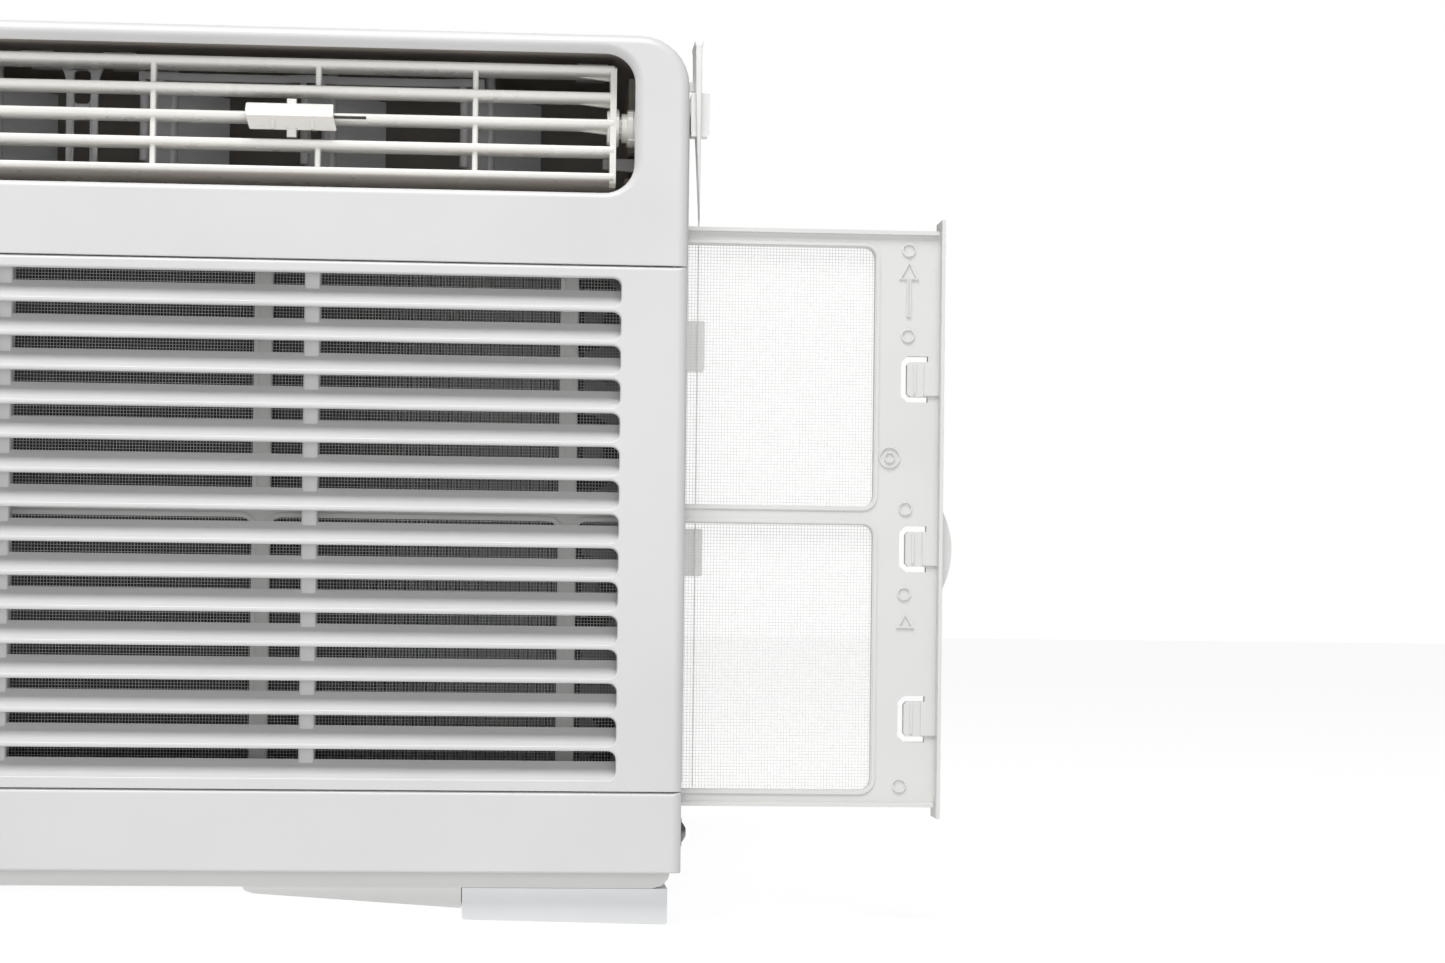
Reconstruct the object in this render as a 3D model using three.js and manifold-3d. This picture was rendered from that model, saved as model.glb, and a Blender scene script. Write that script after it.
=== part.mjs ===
// Window air conditioner, electronic control, with louvred outlet above and intake grille below.
// Millimetres. +X is to the right when facing the room side, +Y goes outdoors, +Z is up.
// The origin is the middle of the underside of the sill rail, where the unit rests on a window sill.

import * as THREE from 'three';
import { mergeVertices } from 'three/addons/utils/BufferGeometryUtils.js';
import Module from 'manifold-3d';

const wasm = await Module();
wasm.setup();

// ---------------------------------------------------------------- driving dimensions

const GAP = 0.3; // clearance between pieces that touch

// room-side panel
const FRONT = -170; // y of the front face
const PANEL_HALF = 235;
const PANEL_TOP = 340;
const PANEL_BOTTOM = 20.4;
const PANEL_DEPTH = 58;
const PANEL_WALL = 2.5;
const PANEL_CORNER = 19;
const PANEL_EDGE = 4; // rounding of the front edge
const PANEL_DRAFT = 1; // the sides open out towards the rear
const SEAM_UPPER = 251.6;
const SEAM_LOWER = 51.2;
const SEAM_GAP = 0.6;

// outlet
const OUTLET_HALF = 214.2;
const OUTLET_TOP = 332.8;
const OUTLET_BOTTOM = 279.4;
const OUTLET_CORNER = 11.5;
const OUTLET_CHAMFER = 2.6;
const DUCT_HALF = 219;
const DUCT_TOP = 335.4;
const DUCT_BOTTOM = 275.6;
const DUCT_DEPTH = 130;
const DUCT_WALL = 1.5;

// tilting louver frame
const LOUVER_Z = 307; // height of its pivot
const LOUVER_DEEP = 20; // distance of its pivot behind the front face
const LOUVER_HALF = 207.4;
const BLADE_COUNT = 5;
const BLADE_TOP = 330.1;
const BLADE_PITCH = 10.38;
const BLADE_HEIGHT = 3.5;
const BLADE_FRONT = 12;
const BAR_X = [30.6, 93.2, 153.2];
const BAR_WIDTH = 2.2;
const HUB_RADIUS = 7.6; // disc on each end plate

// vertical vanes, three to each side, turned by a slider tab
const VANE_X = [34, 96.3, 158.6];
const VANE_DEEP = 52; // distance of the vane pivots behind the front face
const VANE_LEAD = 14; // pivot to front bead
const VANE_TRAIL = 28; // pivot to rear edge
const VANE_CRANK = 10; // pivot to link pin
const VANE_REST = Math.PI / 4;
const VANE_BOTTOM = 290;
const VANE_HEIGHT = 33.5;
const TAB_LENGTH = 34;

// intake grille
const SLOT_COUNT = 15;
const SLOT_TOP = 246.8;
const SLOT_PITCH = 12.87;
const SLOT_HEIGHT = 10.87;
const SLOT_RIGHT = 209.7;
const SLOT_LEFT = -140;
const SLAT_DEPTH = 8;
const SLAT_RISE = 6.8;
const RIB_X = [92.4, -23];
const RIB_WIDTH = 6.1;

// air filter, pulled out by a quarter of its length at rest
const FILTER_DEEP = 20;
const FILTER_THICK = 4;
const FILTER_LEFT = -48;
const FILTER_RIGHT = 334.6;
const FILTER_BOTTOM = 45;
const FILTER_TOP = 269.4;
const FILTER_COLUMNS = [[-41, 69.6], [76.6, 187], [194, 309.4]];
const FILTER_ROWS = [[51.5, 154.4], [161.8, 262.7]];
const FLANGE_THICK = 1.4;
const CLIP_Z = [211.6, 145.4, 79.2];

// controls
const CONTROL = { left: -222, right: -152, bottom: 66, top: 247 };
const BUTTON_RADIUS = 8;
const BUTTONS = {
  button_temp_up: [-171, 180],
  button_temp_down: [-171, 150],
  button_mode: [-203, 180],
  button_fan: [-203, 150],
  button_power: [-187, 118],
};
const DISPLAY = { left: -210, right: -164, bottom: 205, top: 233 };

// cabinet and base
const CABINET_HALF = 231.5;
const CABINET_TOP = 337;
const CABINET_START = 44;
const CABINET_END = 424;
const CABINET_CORNER = 17;
const SHEET = 1.2;
const PAN_HALF = 230;
const PAN_LIP_HALF = 231.4; // the pan is a little wider in front of the cabinet
const PAN_LIP_TOP = 26;
const PAN_BOTTOM = 14;
const PAN_WALL_TOP = 38;
const PAN_START = 8;
const PAN_SHEET = 1.5;
const PAN_FLOOR = PAN_BOTTOM + PAN_SHEET;
const RAIL_HALF = 226;
const RAIL_WIDTH = 20;
const TOP_RAIL_DEEP = 138.5;
const TOP_RAIL_HEIGHT = 25;

// side curtains
const CURTAIN_DEEP = 124;
const CURTAIN_DEPTH = 22;
const CURTAIN_INNER = CABINET_HALF + GAP;
const CURTAIN_OUTER = 244.2;
const CURTAIN_FRAME = 2.8;
const CURTAIN_CLIPS = [[222, 243], [135, 155]]; // heights of the small clips on each outer strip

// air and refrigerant machinery
const FAN_X = 10;
const FAN_Z = 152;
const WHEEL_RADIUS = 78;
const WHEEL_PADDLES = 20;
const PADDLE_LEAN = 0.5; // radians, forward
const FAN_RADIUS = 122;
const FAN_BLADES = 5;
const SHAFT_RADIUS = 5;
const EVAPORATOR = { left: -150, right: 196, near: 31, far: 57, bottom: 42, top: 266 };
const CONDENSER = { left: -210, right: 205, near: 386, far: 418, bottom: 18, top: 322 };
const BEND_RADIUS = 12.5;
const BEND_TUBE = 3.5;

const deep = (distance) => FRONT + distance; // y at a distance behind the front face

// ---------------------------------------------------------------- shape helpers

function toSolid(geometry) {
  const bare = geometry.clone();
  bare.deleteAttribute('normal');
  bare.deleteAttribute('uv');
  const merged = mergeVertices(bare, 1e-4);
  return new wasm.Manifold(new wasm.Mesh({
    numProp: 3,
    vertProperties: new Float32Array(merged.attributes.position.array),
    triVerts: new Uint32Array(merged.index.array),
  }));
}

function toGeometry(solid) {
  const mesh = solid.getMesh();
  const geometry = new THREE.BufferGeometry();
  geometry.setAttribute('position', new THREE.BufferAttribute(new Float32Array(mesh.vertProperties), 3));
  geometry.setIndex(new THREE.BufferAttribute(new Uint32Array(mesh.triVerts), 1));
  geometry.computeVertexNormals();
  return geometry;
}

const join = (...pieces) => toGeometry(pieces.map(toSolid).reduce((a, b) => a.add(b)));

const cut = (body, ...tools) => toGeometry(tools.map(toSolid).reduce((a, b) => a.subtract(b), toSolid(body)));

const common = (a, b) => toGeometry(toSolid(a).intersect(toSolid(b)));

function box(x0, x1, y0, y1, z0, z1) {
  const geometry = new THREE.BoxGeometry(x1 - x0, y1 - y0, z1 - z0);
  return geometry.translate((x0 + x1) / 2, (y0 + y1) / 2, (z0 + z1) / 2);
}

// an outline is a list of [a, b] pairs: (y, z) along x, (x, z) along y, (x, y) along z
function prism(axis, outline, from, to, holes = []) {
  const shape = new THREE.Shape(outline.map(([a, b]) => new THREE.Vector2(a, b)));
  shape.holes = holes.map((hole) => new THREE.Path(hole.map(([a, b]) => new THREE.Vector2(a, b))));
  const geometry = new THREE.ExtrudeGeometry(shape, { depth: to - from, bevelEnabled: false });
  const unit = (x, y, z) => new THREE.Vector3(x, y, z);
  if (axis === 'x') {
    geometry.applyMatrix4(new THREE.Matrix4().makeBasis(unit(0, 1, 0), unit(0, 0, 1), unit(1, 0, 0)));
    return geometry.translate(from, 0, 0);
  }
  if (axis === 'y') {
    geometry.rotateX(Math.PI / 2);
    return geometry.translate(0, to, 0);
  }
  return geometry.translate(0, 0, from);
}

// a round bar along one axis; (a, b) is its centre in the other two, in x, y, z order
function rod(axis, radius, from, to, a, b, sides = 16) {
  const geometry = new THREE.CylinderGeometry(radius, radius, to - from, sides);
  const middle = (from + to) / 2;
  if (axis === 'x') return geometry.rotateZ(-Math.PI / 2).translate(middle, a, b);
  if (axis === 'y') return geometry.translate(a, middle, b);
  return geometry.rotateX(Math.PI / 2).translate(a, b, middle);
}

// corner radii run bottom left, bottom right, top right, top left
function roundRect(x0, x1, z0, z1, radii, steps = 3) {
  const [bl, br, tr, tl] = Array.isArray(radii) ? radii : [radii, radii, radii, radii];
  const corners = [[x0 + bl, z0 + bl, bl, 180], [x1 - br, z0 + br, br, 270],
    [x1 - tr, z1 - tr, tr, 0], [x0 + tl, z1 - tl, tl, 90]];
  const points = [];
  for (const [cx, cz, radius, start] of corners) {
    for (let i = 0; i <= steps; i++) {
      const angle = THREE.MathUtils.degToRad(start + (90 * i) / steps);
      points.push([cx + radius * Math.cos(angle), cz + radius * Math.sin(angle)]);
    }
  }
  return points;
}

function circle(cx, cz, radius, sides) {
  const points = [];
  for (let i = 0; i < sides; i++) {
    const angle = (2 * Math.PI * i) / sides;
    points.push([cx + radius * Math.cos(angle), cz + radius * Math.sin(angle)]);
  }
  return points;
}

function signedVolume(points, faces) {
  let volume = 0;
  for (let i = 0; i < faces.length; i += 3) {
    const [a, b, c] = [0, 1, 2].map((k) => new THREE.Vector3(...points[faces[i + k]]));
    volume += a.dot(b.cross(c)) / 6;
  }
  return volume;
}

// a closed body through convex rings that all have the same number of points
function loft(rings) {
  const count = rings[0].length;
  const points = rings.flat();
  const last = (rings.length - 1) * count;
  const faces = [];
  for (let ring = 0; ring < rings.length - 1; ring++) {
    for (let i = 0; i < count; i++) {
      const a = ring * count + i;
      const b = ring * count + ((i + 1) % count);
      faces.push(a, b, b + count, a, b + count, a + count);
    }
  }
  for (let i = 1; i < count - 1; i++) faces.push(0, i + 1, i, last, last + i, last + i + 1);
  if (signedVolume(points, faces) < 0) faces.reverse();
  const geometry = new THREE.BufferGeometry();
  geometry.setAttribute('position', new THREE.Float32BufferAttribute(points.flat(), 3));
  geometry.setIndex(faces);
  return geometry;
}

// a tube through the given points, bent on a smooth curve
function tube(points, radius, steps, sides = 6) {
  const curve = new THREE.CatmullRomCurve3(points.map((p) => new THREE.Vector3(...p)), false, 'centripetal');
  const section = new THREE.Shape(circle(0, 0, radius, sides).map(([a, b]) => new THREE.Vector2(a, b)));
  return new THREE.ExtrudeGeometry(section, { steps, extrudePath: curve });
}

// the same piece on the other side; its faces are turned round again so that they point out
function mirrorX(geometry) {
  const mirrored = toGeometry(toSolid(geometry)).scale(-1, 1, 1);
  mirrored.index.array.reverse();
  mirrored.computeVertexNormals();
  return mirrored;
}

// ---------------------------------------------------------------- finishes

const finish = (color, roughness, metalness = 0) =>
  new THREE.MeshStandardMaterial({ color, roughness, metalness });

const whitePlastic = finish(0xe6e7e7, 0.45);
const creamPlastic = finish(0xe9e7e1, 0.4);
const greyPlastic = finish(0x8c8c8e, 0.5);
const darkPlastic = finish(0x4a4642, 0.7);
const filterPlastic = finish(0xe6e6e6, 0.5);
const meshFabric = finish(0x55585a, 0.9);
const paintedSteel = finish(0xdcdcda, 0.5, 0.1);
const galvanised = finish(0xa9adb0, 0.45, 0.8);
const aluminium = finish(0xb9bcbd, 0.4, 0.9);
const copper = finish(0xb87448, 0.35, 0.9);
const blackPaint = finish(0x222324, 0.5, 0.1);
const vinyl = finish(0xe2e2de, 0.6);
const rubber = finish(0x2a2a2a, 0.85);
const smokedLens = finish(0x14181a, 0.1);
const circuitBoard = finish(0x2f5d3a, 0.6);

const assembly = new THREE.Group();
assembly.name = 'window_air_conditioner';

function add(name, geometry, material, parent = assembly) {
  const mesh = new THREE.Mesh(geometry, material);
  mesh.name = name;
  parent.add(mesh);
  return mesh;
}

// ---------------------------------------------------------------- room-side panel

function panelRing(inset, y) {
  const corner = Math.max(PANEL_CORNER - inset, 1);
  const outline = roundRect(-PANEL_HALF + inset, PANEL_HALF - inset, PANEL_BOTTOM + Math.min(inset, 0),
    PANEL_TOP - inset, [1, 1, corner, corner], 4);
  return outline.map(([x, z]) => [x, y, z]);
}

function panelShell() {
  const outer = [];
  for (let i = 0; i <= 3; i++) {
    const angle = (Math.PI / 2) * (i / 3);
    outer.push(panelRing(PANEL_EDGE * (1 - Math.sin(angle)), FRONT + PANEL_EDGE * (1 - Math.cos(angle))));
  }
  outer.push(panelRing(-PANEL_DRAFT, deep(PANEL_DEPTH)));
  const lowered = (ring) => ring.map(([x, y, z]) => [x, y, z < PANEL_BOTTOM + 5 ? z - 5 : z]);
  const inner = [lowered(panelRing(PANEL_WALL, deep(PANEL_WALL + 0.5))),
    lowered(panelRing(PANEL_WALL - PANEL_DRAFT, deep(PANEL_DEPTH + 1)))];
  return cut(loft(outer), loft(inner));
}

function panelSlice(from, to) {
  const wide = PANEL_HALF + 20;
  return common(panelShell(), box(-wide, wide, deep(-5), deep(PANEL_DEPTH + 5), from, to));
}

// the filter slides out through this slot in the right-hand wall of the panel
const SLOT_NEAR = deep(FILTER_DEEP - 0.8);
const SLOT_FAR = deep(FILTER_DEEP + FILTER_THICK + 1.8);
const filterSlot = () => box(PANEL_HALF - 10, PANEL_HALF + 10, SLOT_NEAR, SLOT_FAR,
  FILTER_BOTTOM - 0.5, FILTER_TOP + 0.5);

function outletCutter() {
  const ring = (grow, distance) => roundRect(-OUTLET_HALF - grow, OUTLET_HALF + grow,
    OUTLET_BOTTOM - grow, OUTLET_TOP + grow, OUTLET_CORNER + grow, 4).map(([x, z]) => [x, deep(distance), z]);
  return loft([ring(OUTLET_CHAMFER + 1, -1), ring(0, OUTLET_CHAMFER), ring(0, 6)]);
}

function upperFascia() {
  const shell = panelSlice(SEAM_UPPER + SEAM_GAP / 2, PANEL_TOP + 5);
  const guide = box(-150, PANEL_HALF - 3, deep(2), deep(FILTER_DEEP + 7), FILTER_TOP + 0.7, FILTER_TOP + 2.4);
  const leg = common(panelShell(), box(PANEL_HALF - 10, PANEL_HALF + 10, SLOT_FAR, deep(PANEL_DEPTH + 5),
    SEAM_LOWER + SEAM_GAP / 2, SEAM_UPPER + 5));
  return cut(join(shell, guide, leg), outletCutter(), filterSlot());
}

function slotCutter(index) {
  const top = SLOT_TOP - index * SLOT_PITCH;
  const ring = (distance) => {
    const rise = (SLAT_RISE * distance) / SLAT_DEPTH;
    return roundRect(SLOT_LEFT, SLOT_RIGHT, top - SLOT_HEIGHT + rise, top + rise, 3.5, 2)
      .map(([x, z]) => [x, deep(distance), z]);
  };
  return loft([ring(-1), ring(SLAT_DEPTH + 1)]);
}

function intakeGrille() {
  const shell = panelSlice(SEAM_LOWER + SEAM_GAP / 2, SEAM_UPPER - SEAM_GAP / 2);
  const slats = box(SLOT_LEFT - 3, SLOT_RIGHT + 3, deep(1), deep(SLAT_DEPTH), 55, SEAM_UPPER - 0.6);
  const cutters = [];
  for (let i = 0; i < SLOT_COUNT; i++) cutters.push(slotCutter(i));
  const control = box(CONTROL.left, CONTROL.right, deep(-5), deep(PANEL_WALL + 4),
    CONTROL.bottom, CONTROL.top);
  const behindFilter = box(PANEL_HALF - 10, PANEL_HALF + 10, SLOT_NEAR, deep(PANEL_DEPTH + 5), 0, PANEL_TOP);
  const open = cut(join(shell, slats), ...cutters, control, behindFilter);
  const ribs = RIB_X.map((x) => box(x - RIB_WIDTH / 2, x + RIB_WIDTH / 2,
    deep(SLAT_DEPTH - 1.5), deep(14), 57, SEAM_UPPER - 1));
  return join(open, ...ribs);
}

function lowerFascia() {
  const shell = panelSlice(PANEL_BOTTOM - 5, SEAM_LOWER - SEAM_GAP / 2);
  const guide = box(-150, PANEL_HALF - 3, deep(2), deep(FILTER_DEEP + 7),
    FILTER_BOTTOM - 2.4, FILTER_BOTTOM - 0.7);
  return cut(join(shell, guide), filterSlot());
}

add('upper_fascia', upperFascia(), whitePlastic);
add('intake_grille', intakeGrille(), whitePlastic);
add('lower_fascia', lowerFascia(), whitePlastic);

// ---------------------------------------------------------------- outlet: duct, louver, vanes

const pivotsX = [...VANE_X.map((x) => -x).reverse(), ...VANE_X];

function outletDuct() {
  const y0 = deep(PANEL_WALL + 0.5 + GAP);
  const y1 = deep(DUCT_DEPTH);
  const outline = (inset) => roundRect(-DUCT_HALF + inset, DUCT_HALF - inset, DUCT_BOTTOM + inset,
    DUCT_TOP - inset, [4, 4, 14 - inset, 14 - inset], 3);
  const outer = prism('y', outline(0), y0, y1);
  const inner = prism('y', outline(DUCT_WALL), y0 - 1, y1 - DUCT_WALL);
  const throat = box(14, 118, deep(65), deep(126), DUCT_BOTTOM - 5, DUCT_BOTTOM + 5);
  const pinHoles = pivotsX.map((x) => rod('z', 2.7, DUCT_BOTTOM - 5, DUCT_TOP + 5, x, deep(VANE_DEEP), 8));
  return cut(outer, inner, throat, ...pinHoles);
}

// one blade: rounded front edge, thinner towards the rear except where the slider arms pass
function blade(index, rearDeep, rearDrop, taper) {
  const top = BLADE_TOP - index * BLADE_PITCH;
  const low = top - BLADE_HEIGHT;
  const [nose, front, rear] = [deep(BLADE_FRONT), deep(BLADE_FRONT + 1), deep(rearDeep)];
  const section = [[nose, low + 1.1], [front, low], [rear, low - rearDrop], [rear, top - taper - rearDrop],
    [front, top], [nose, top - 1.1]];
  return prism('x', section, -LOUVER_HALF + 1, LOUVER_HALF - 1);
}

const tabArmX = (side) => (side > 0 ? VANE_X[1] : -VANE_X[1]) - VANE_LEAD * Math.sin(VANE_REST);
const TAB_TRAVEL = 2 * VANE_LEAD * Math.sin(VANE_REST);
const midBladeZ = BLADE_TOP - 2 * BLADE_PITCH - BLADE_HEIGHT / 2;

function louverFrame() {
  const pieces = [];
  for (let i = 0; i < BLADE_COUNT; i++) {
    const outermost = i === 0 || i === BLADE_COUNT - 1;
    pieces.push(blade(i, outermost ? 28 : 24, i === BLADE_COUNT - 1 ? 2 : 0, i === 2 ? 0 : 1));
  }
  for (const side of [-1, 1]) {
    for (const x of BAR_X) {
      // the bar in the slider's way joins only the upper two and the lower two blades
      for (const [from, to] of x === BAR_X[1] ? [[0, 1], [3, 4]] : [[0, 4]]) {
        const low = BLADE_TOP - to * BLADE_PITCH - 2;
        const high = BLADE_TOP - from * BLADE_PITCH - 1;
        pieces.push(box(side * x - BAR_WIDTH / 2, side * x + BAR_WIDTH / 2, deep(BLADE_FRONT + 2),
          deep(BLADE_FRONT + 6), low, high));
      }
    }
    const inner = side * (LOUVER_HALF - 2.4);
    const outer = side * LOUVER_HALF;
    const section = [[deep(BLADE_FRONT + 0.3), 286], [deep(15), 283.2], [deep(28), 283.2], [deep(28), 328.6],
      [deep(BLADE_FRONT + 0.3), 329.6]];
    pieces.push(prism('x', section, Math.min(inner, outer), Math.max(inner, outer)));
    const disc = [outer - side, outer + side * 1.2].sort((a, b) => a - b);
    pieces.push(rod('x', HUB_RADIUS, disc[0], disc[1], deep(LOUVER_DEEP), LOUVER_Z, 16));
    const stub = [outer - side, outer + side * 7].sort((a, b) => a - b);
    pieces.push(rod('x', 4, stub[0], stub[1], deep(LOUVER_DEEP), LOUVER_Z, 12));
  }
  const armSlots = [-1, 1].map((side) => box(tabArmX(side) - 5, tabArmX(side) + TAB_TRAVEL + 5,
    deep(5), deep(30), midBladeZ - 0.9, midBladeZ + 0.9));
  return cut(join(...pieces), ...armSlots);
}

function louverBush() {
  return cut(rod('x', 8, LOUVER_HALF + 1.8, DUCT_HALF - DUCT_WALL - GAP, deep(LOUVER_DEEP), LOUVER_Z, 16),
    rod('x', 4.5, LOUVER_HALF, DUCT_HALF - DUCT_WALL - 2, deep(LOUVER_DEEP), LOUVER_Z, 12));
}

// grip in front of the middle blade, an arm through its slot and a fork behind
function sliderTab(side) {
  const arm = tabArmX(side);
  const centre = arm - 2.3;
  const grip = [[11.6, 302.4], [11.6, 312], [9, 312.2], [6.6, 310.6], [5.8, 306], [7, 302.6], [9, 301.8]]
    .map(([distance, z]) => [deep(distance), z]);
  const thin = 0.5;
  const bar = (x0, x1, y0, y1) => box(arm + x0, arm + x1, deep(y0), deep(y1), midBladeZ - thin, midBladeZ + thin);
  return join(prism('x', grip, centre - TAB_LENGTH / 2, centre + TAB_LENGTH / 2), bar(-3, 3, 11, 34),
    bar(-4.6, 4.6, 33.2, 35), bar(-4.6, -2.6, 34, 45.5), bar(2.6, 4.6, 34, 45.5));
}

// a vane in its own frame: pivot on the z axis, front edge towards -y
function vane(forked) {
  const top = VANE_HEIGHT;
  const corner = 5;
  const outline = [[-VANE_LEAD, corner], [-VANE_LEAD + corner * 0.3, corner * 0.3], [-VANE_LEAD + corner, 0],
    [VANE_TRAIL - corner, 0], [VANE_TRAIL - corner * 0.3, corner * 0.3], [VANE_TRAIL, corner],
    [VANE_TRAIL, top], [-VANE_LEAD, top]];
  const plate = prism('x', outline, -1, 1);
  const bead = rod('z', 1.8, corner, top, 0, -VANE_LEAD, 8);
  const axle = rod('z', 2, DUCT_BOTTOM - VANE_BOTTOM + 0.2, DUCT_TOP - VANE_BOTTOM - 0.2, 0, 0, 8);
  const crank = rod('z', 1.2, top - 1, top + 5.2, 0, -VANE_CRANK, 8);
  const opening = box(-5, 5, -VANE_LEAD + 1.7, -4.4, 9.5, 25.5);
  const body = forked ? cut(plate, opening) : plate;
  return join(body, bead, axle, crank);
}

function vaneLink(side) {
  const pins = VANE_X.map((x) => side * x - VANE_CRANK * Math.sin(VANE_REST)).sort((a, b) => a - b);
  const z0 = VANE_BOTTOM + VANE_HEIGHT + 1.6;
  const nearSlot = deep(VANE_DEEP - VANE_CRANK - 2);
  const farSlot = deep(VANE_DEEP - VANE_CRANK * Math.cos(VANE_REST) + 2);
  const slots = pins.map((x) => box(x - 1.9, x + 1.9, nearSlot, farSlot, z0 - 1, z0 + 4));
  return cut(box(pins[0] - 5, pins[2] + 5, nearSlot - 1.4, farSlot + 1.4, z0, z0 + 3), ...slots);
}

function centreBracket() {
  const [left, right, z0, z1] = [-5.5, 6.9, DUCT_BOTTOM + DUCT_WALL + GAP, DUCT_TOP - DUCT_WALL - GAP];
  const outline = [[left, z0], [right, z0], [right, 324], [right + 3, z1], [left - 3, z1], [left, 324]];
  const windows = [[281, 299.5], [301.8, 306], [310, 314.4], [317, 331]].map(([low, high]) =>
    roundRect(left + 3.2, right - 3.2, low, high, 1.2, 2));
  return prism('y', outline, deep(36.6), deep(39), windows);
}

add('outlet_duct', outletDuct(), darkPlastic);
add('louver_frame', louverFrame(), creamPlastic);
add('louver_bush_right', louverBush(), creamPlastic);
add('louver_bush_left', mirrorX(louverBush()), creamPlastic);
add('centre_bracket', centreBracket(), greyPlastic);
for (const [side, label] of [[1, 'right'], [-1, 'left']]) {
  add(`slider_tab_${label}`, sliderTab(side), creamPlastic);
  add(`vane_link_${label}`, vaneLink(side), greyPlastic);
  VANE_X.forEach((x, index) => {
    const mesh = add(`vane_${label}_${index + 1}`, vane(index === 1), greyPlastic);
    mesh.position.set(side * x, deep(VANE_DEEP), VANE_BOTTOM);
    mesh.rotation.z = -VANE_REST;
  });
}

// ---------------------------------------------------------------- air filter

function filterFrame() {
  const y0 = deep(FILTER_DEEP);
  const y1 = y0 + FILTER_THICK;
  const outline = roundRect(FILTER_LEFT, FILTER_RIGHT + FLANGE_THICK / 2, FILTER_BOTTOM, FILTER_TOP,
    [4, 0.5, 0.5, 4], 2);
  const windows = [];
  for (const [x0, x1] of FILTER_COLUMNS) {
    for (const [z0, z1] of FILTER_ROWS) windows.push(roundRect(x0, x1, z0, z1, 5, 2));
  }
  const flange = box(FILTER_RIGHT, FILTER_RIGHT + FLANGE_THICK, y0 - 6, y1 + 6,
    FILTER_BOTTOM - 4.3, FILTER_TOP + 4.2);
  const grip = [[0.5, 128], [3.6, 131.5], [5.3, 138], [5.6, 145], [5.3, 152], [3.6, 158.5], [0.5, 162]]
    .map(([out, z]) => [FILTER_RIGHT + out, z]);
  const clips = CLIP_Z.flatMap((z) => [box(320, 322, y0 - 5, y1 + 5, z - 8.7, z + 8.7),
    box(321, 330, y0 - 5, y1 + 5, z + 6.7, z + 8.7), box(321, 330, y0 - 5, y1 + 5, z - 8.7, z - 6.7)]);
  const frame = cut(prism('y', outline, y0, y1, windows), ...clips);
  return join(frame, flange, prism('y', grip, y0 - 2, y1 + 2));
}

// woven sheet stretched over the back of the frame
function filterMesh() {
  const y = deep(FILTER_DEEP + FILTER_THICK + GAP);
  return box(FILTER_LEFT + 4, FILTER_COLUMNS[2][1] + 3, y, y + 0.6, FILTER_BOTTOM + 3, FILTER_TOP - 3);
}

add('filter_frame', filterFrame(), filterPlastic);
add('filter_mesh', filterMesh(), meshFabric);

// ---------------------------------------------------------------- controls

function controlPanel() {
  const outline = roundRect(CONTROL.left + GAP, CONTROL.right - GAP,
    CONTROL.bottom + GAP, CONTROL.top - GAP, 2, 2);
  const holes = Object.values(BUTTONS).map(([x, z]) => circle(x, z, BUTTON_RADIUS + 0.6, 12));
  holes.push(roundRect(DISPLAY.left, DISPLAY.right, DISPLAY.bottom, DISPLAY.top, 2, 2));
  return prism('y', outline, deep(0.2), deep(2.7), holes);
}

function displayWindow() {
  const outline = roundRect(DISPLAY.left + GAP, DISPLAY.right - GAP,
    DISPLAY.bottom + GAP, DISPLAY.top - GAP, 2 - GAP, 2);
  return prism('y', outline, deep(0.4), deep(2.4));
}

// cap that stands proud, with a retaining flange and a stem behind the panel
function button() {
  const profile = [[0, -1.2], [BUTTON_RADIUS - 1.2, -0.8], [BUTTON_RADIUS, 0.4], [BUTTON_RADIUS, 3.2],
    [BUTTON_RADIUS + 1.6, 3.2], [BUTTON_RADIUS + 1.6, 4.2], [2, 4.2], [2, 5.2], [0, 5.2]];
  const points = profile.map(([radius, distance]) => new THREE.Vector2(radius, distance));
  return new THREE.LatheGeometry(points, 12);
}

function controlBoard() {
  const board = box(CONTROL.left + 2, CONTROL.right - 2, deep(8.4), deep(10),
    CONTROL.bottom + 4, CONTROL.top - 4);
  const switches = Object.values(BUTTONS).map(([x, z]) => box(x - 3, x + 3, deep(6.4), deep(9), z - 3, z + 3));
  const readout = box(DISPLAY.left + 2, DISPLAY.right - 2, deep(3.4), deep(9),
    DISPLAY.bottom + 2, DISPLAY.top - 2);
  return join(board, readout, ...switches);
}

function controlBox() {
  const shell = box(-226, -170, deep(11), deep(59), 64, 249);
  return cut(shell, box(-225, -171, deep(5), deep(58), 65, 248));
}

add('control_panel', controlPanel(), whitePlastic);
add('display_window', displayWindow(), smokedLens);
for (const [name, [x, z]] of Object.entries(BUTTONS)) {
  const mesh = add(name, button(), whitePlastic);
  mesh.position.set(x, FRONT, z);
}
add('control_board', controlBoard(), circuitBoard);
add('control_box', controlBox(), galvanised);
add('run_capacitor', rod('z', 19, 66, 132, -198, deep(36), 16), aluminium);

// ---------------------------------------------------------------- cabinet, base and rails

function cabinetShell() {
  const arch = (inset) => roundRect(-CABINET_HALF + inset, CABINET_HALF - inset, 15.4, CABINET_TOP - inset,
    [0.5, 0.5, CABINET_CORNER - inset, CABINET_CORNER - inset], 3);
  const outer = prism('y', arch(0), deep(CABINET_START), deep(CABINET_END));
  const hollow = arch(SHEET).map(([x, z]) => [x, z < 30 ? z - 5 : z]);
  const inner = prism('y', hollow, deep(CABINET_START - 1), deep(CABINET_END + 1));
  const vents = [];
  for (const start of [232, 302]) {
    for (let row = 0; row < 6; row++) {
      const z = 90 + row * 30;
      vents.push(box(-250, 250, deep(start), deep(start + 52), z, z + 6));
    }
  }
  return cut(outer, inner, ...vents);
}

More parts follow.
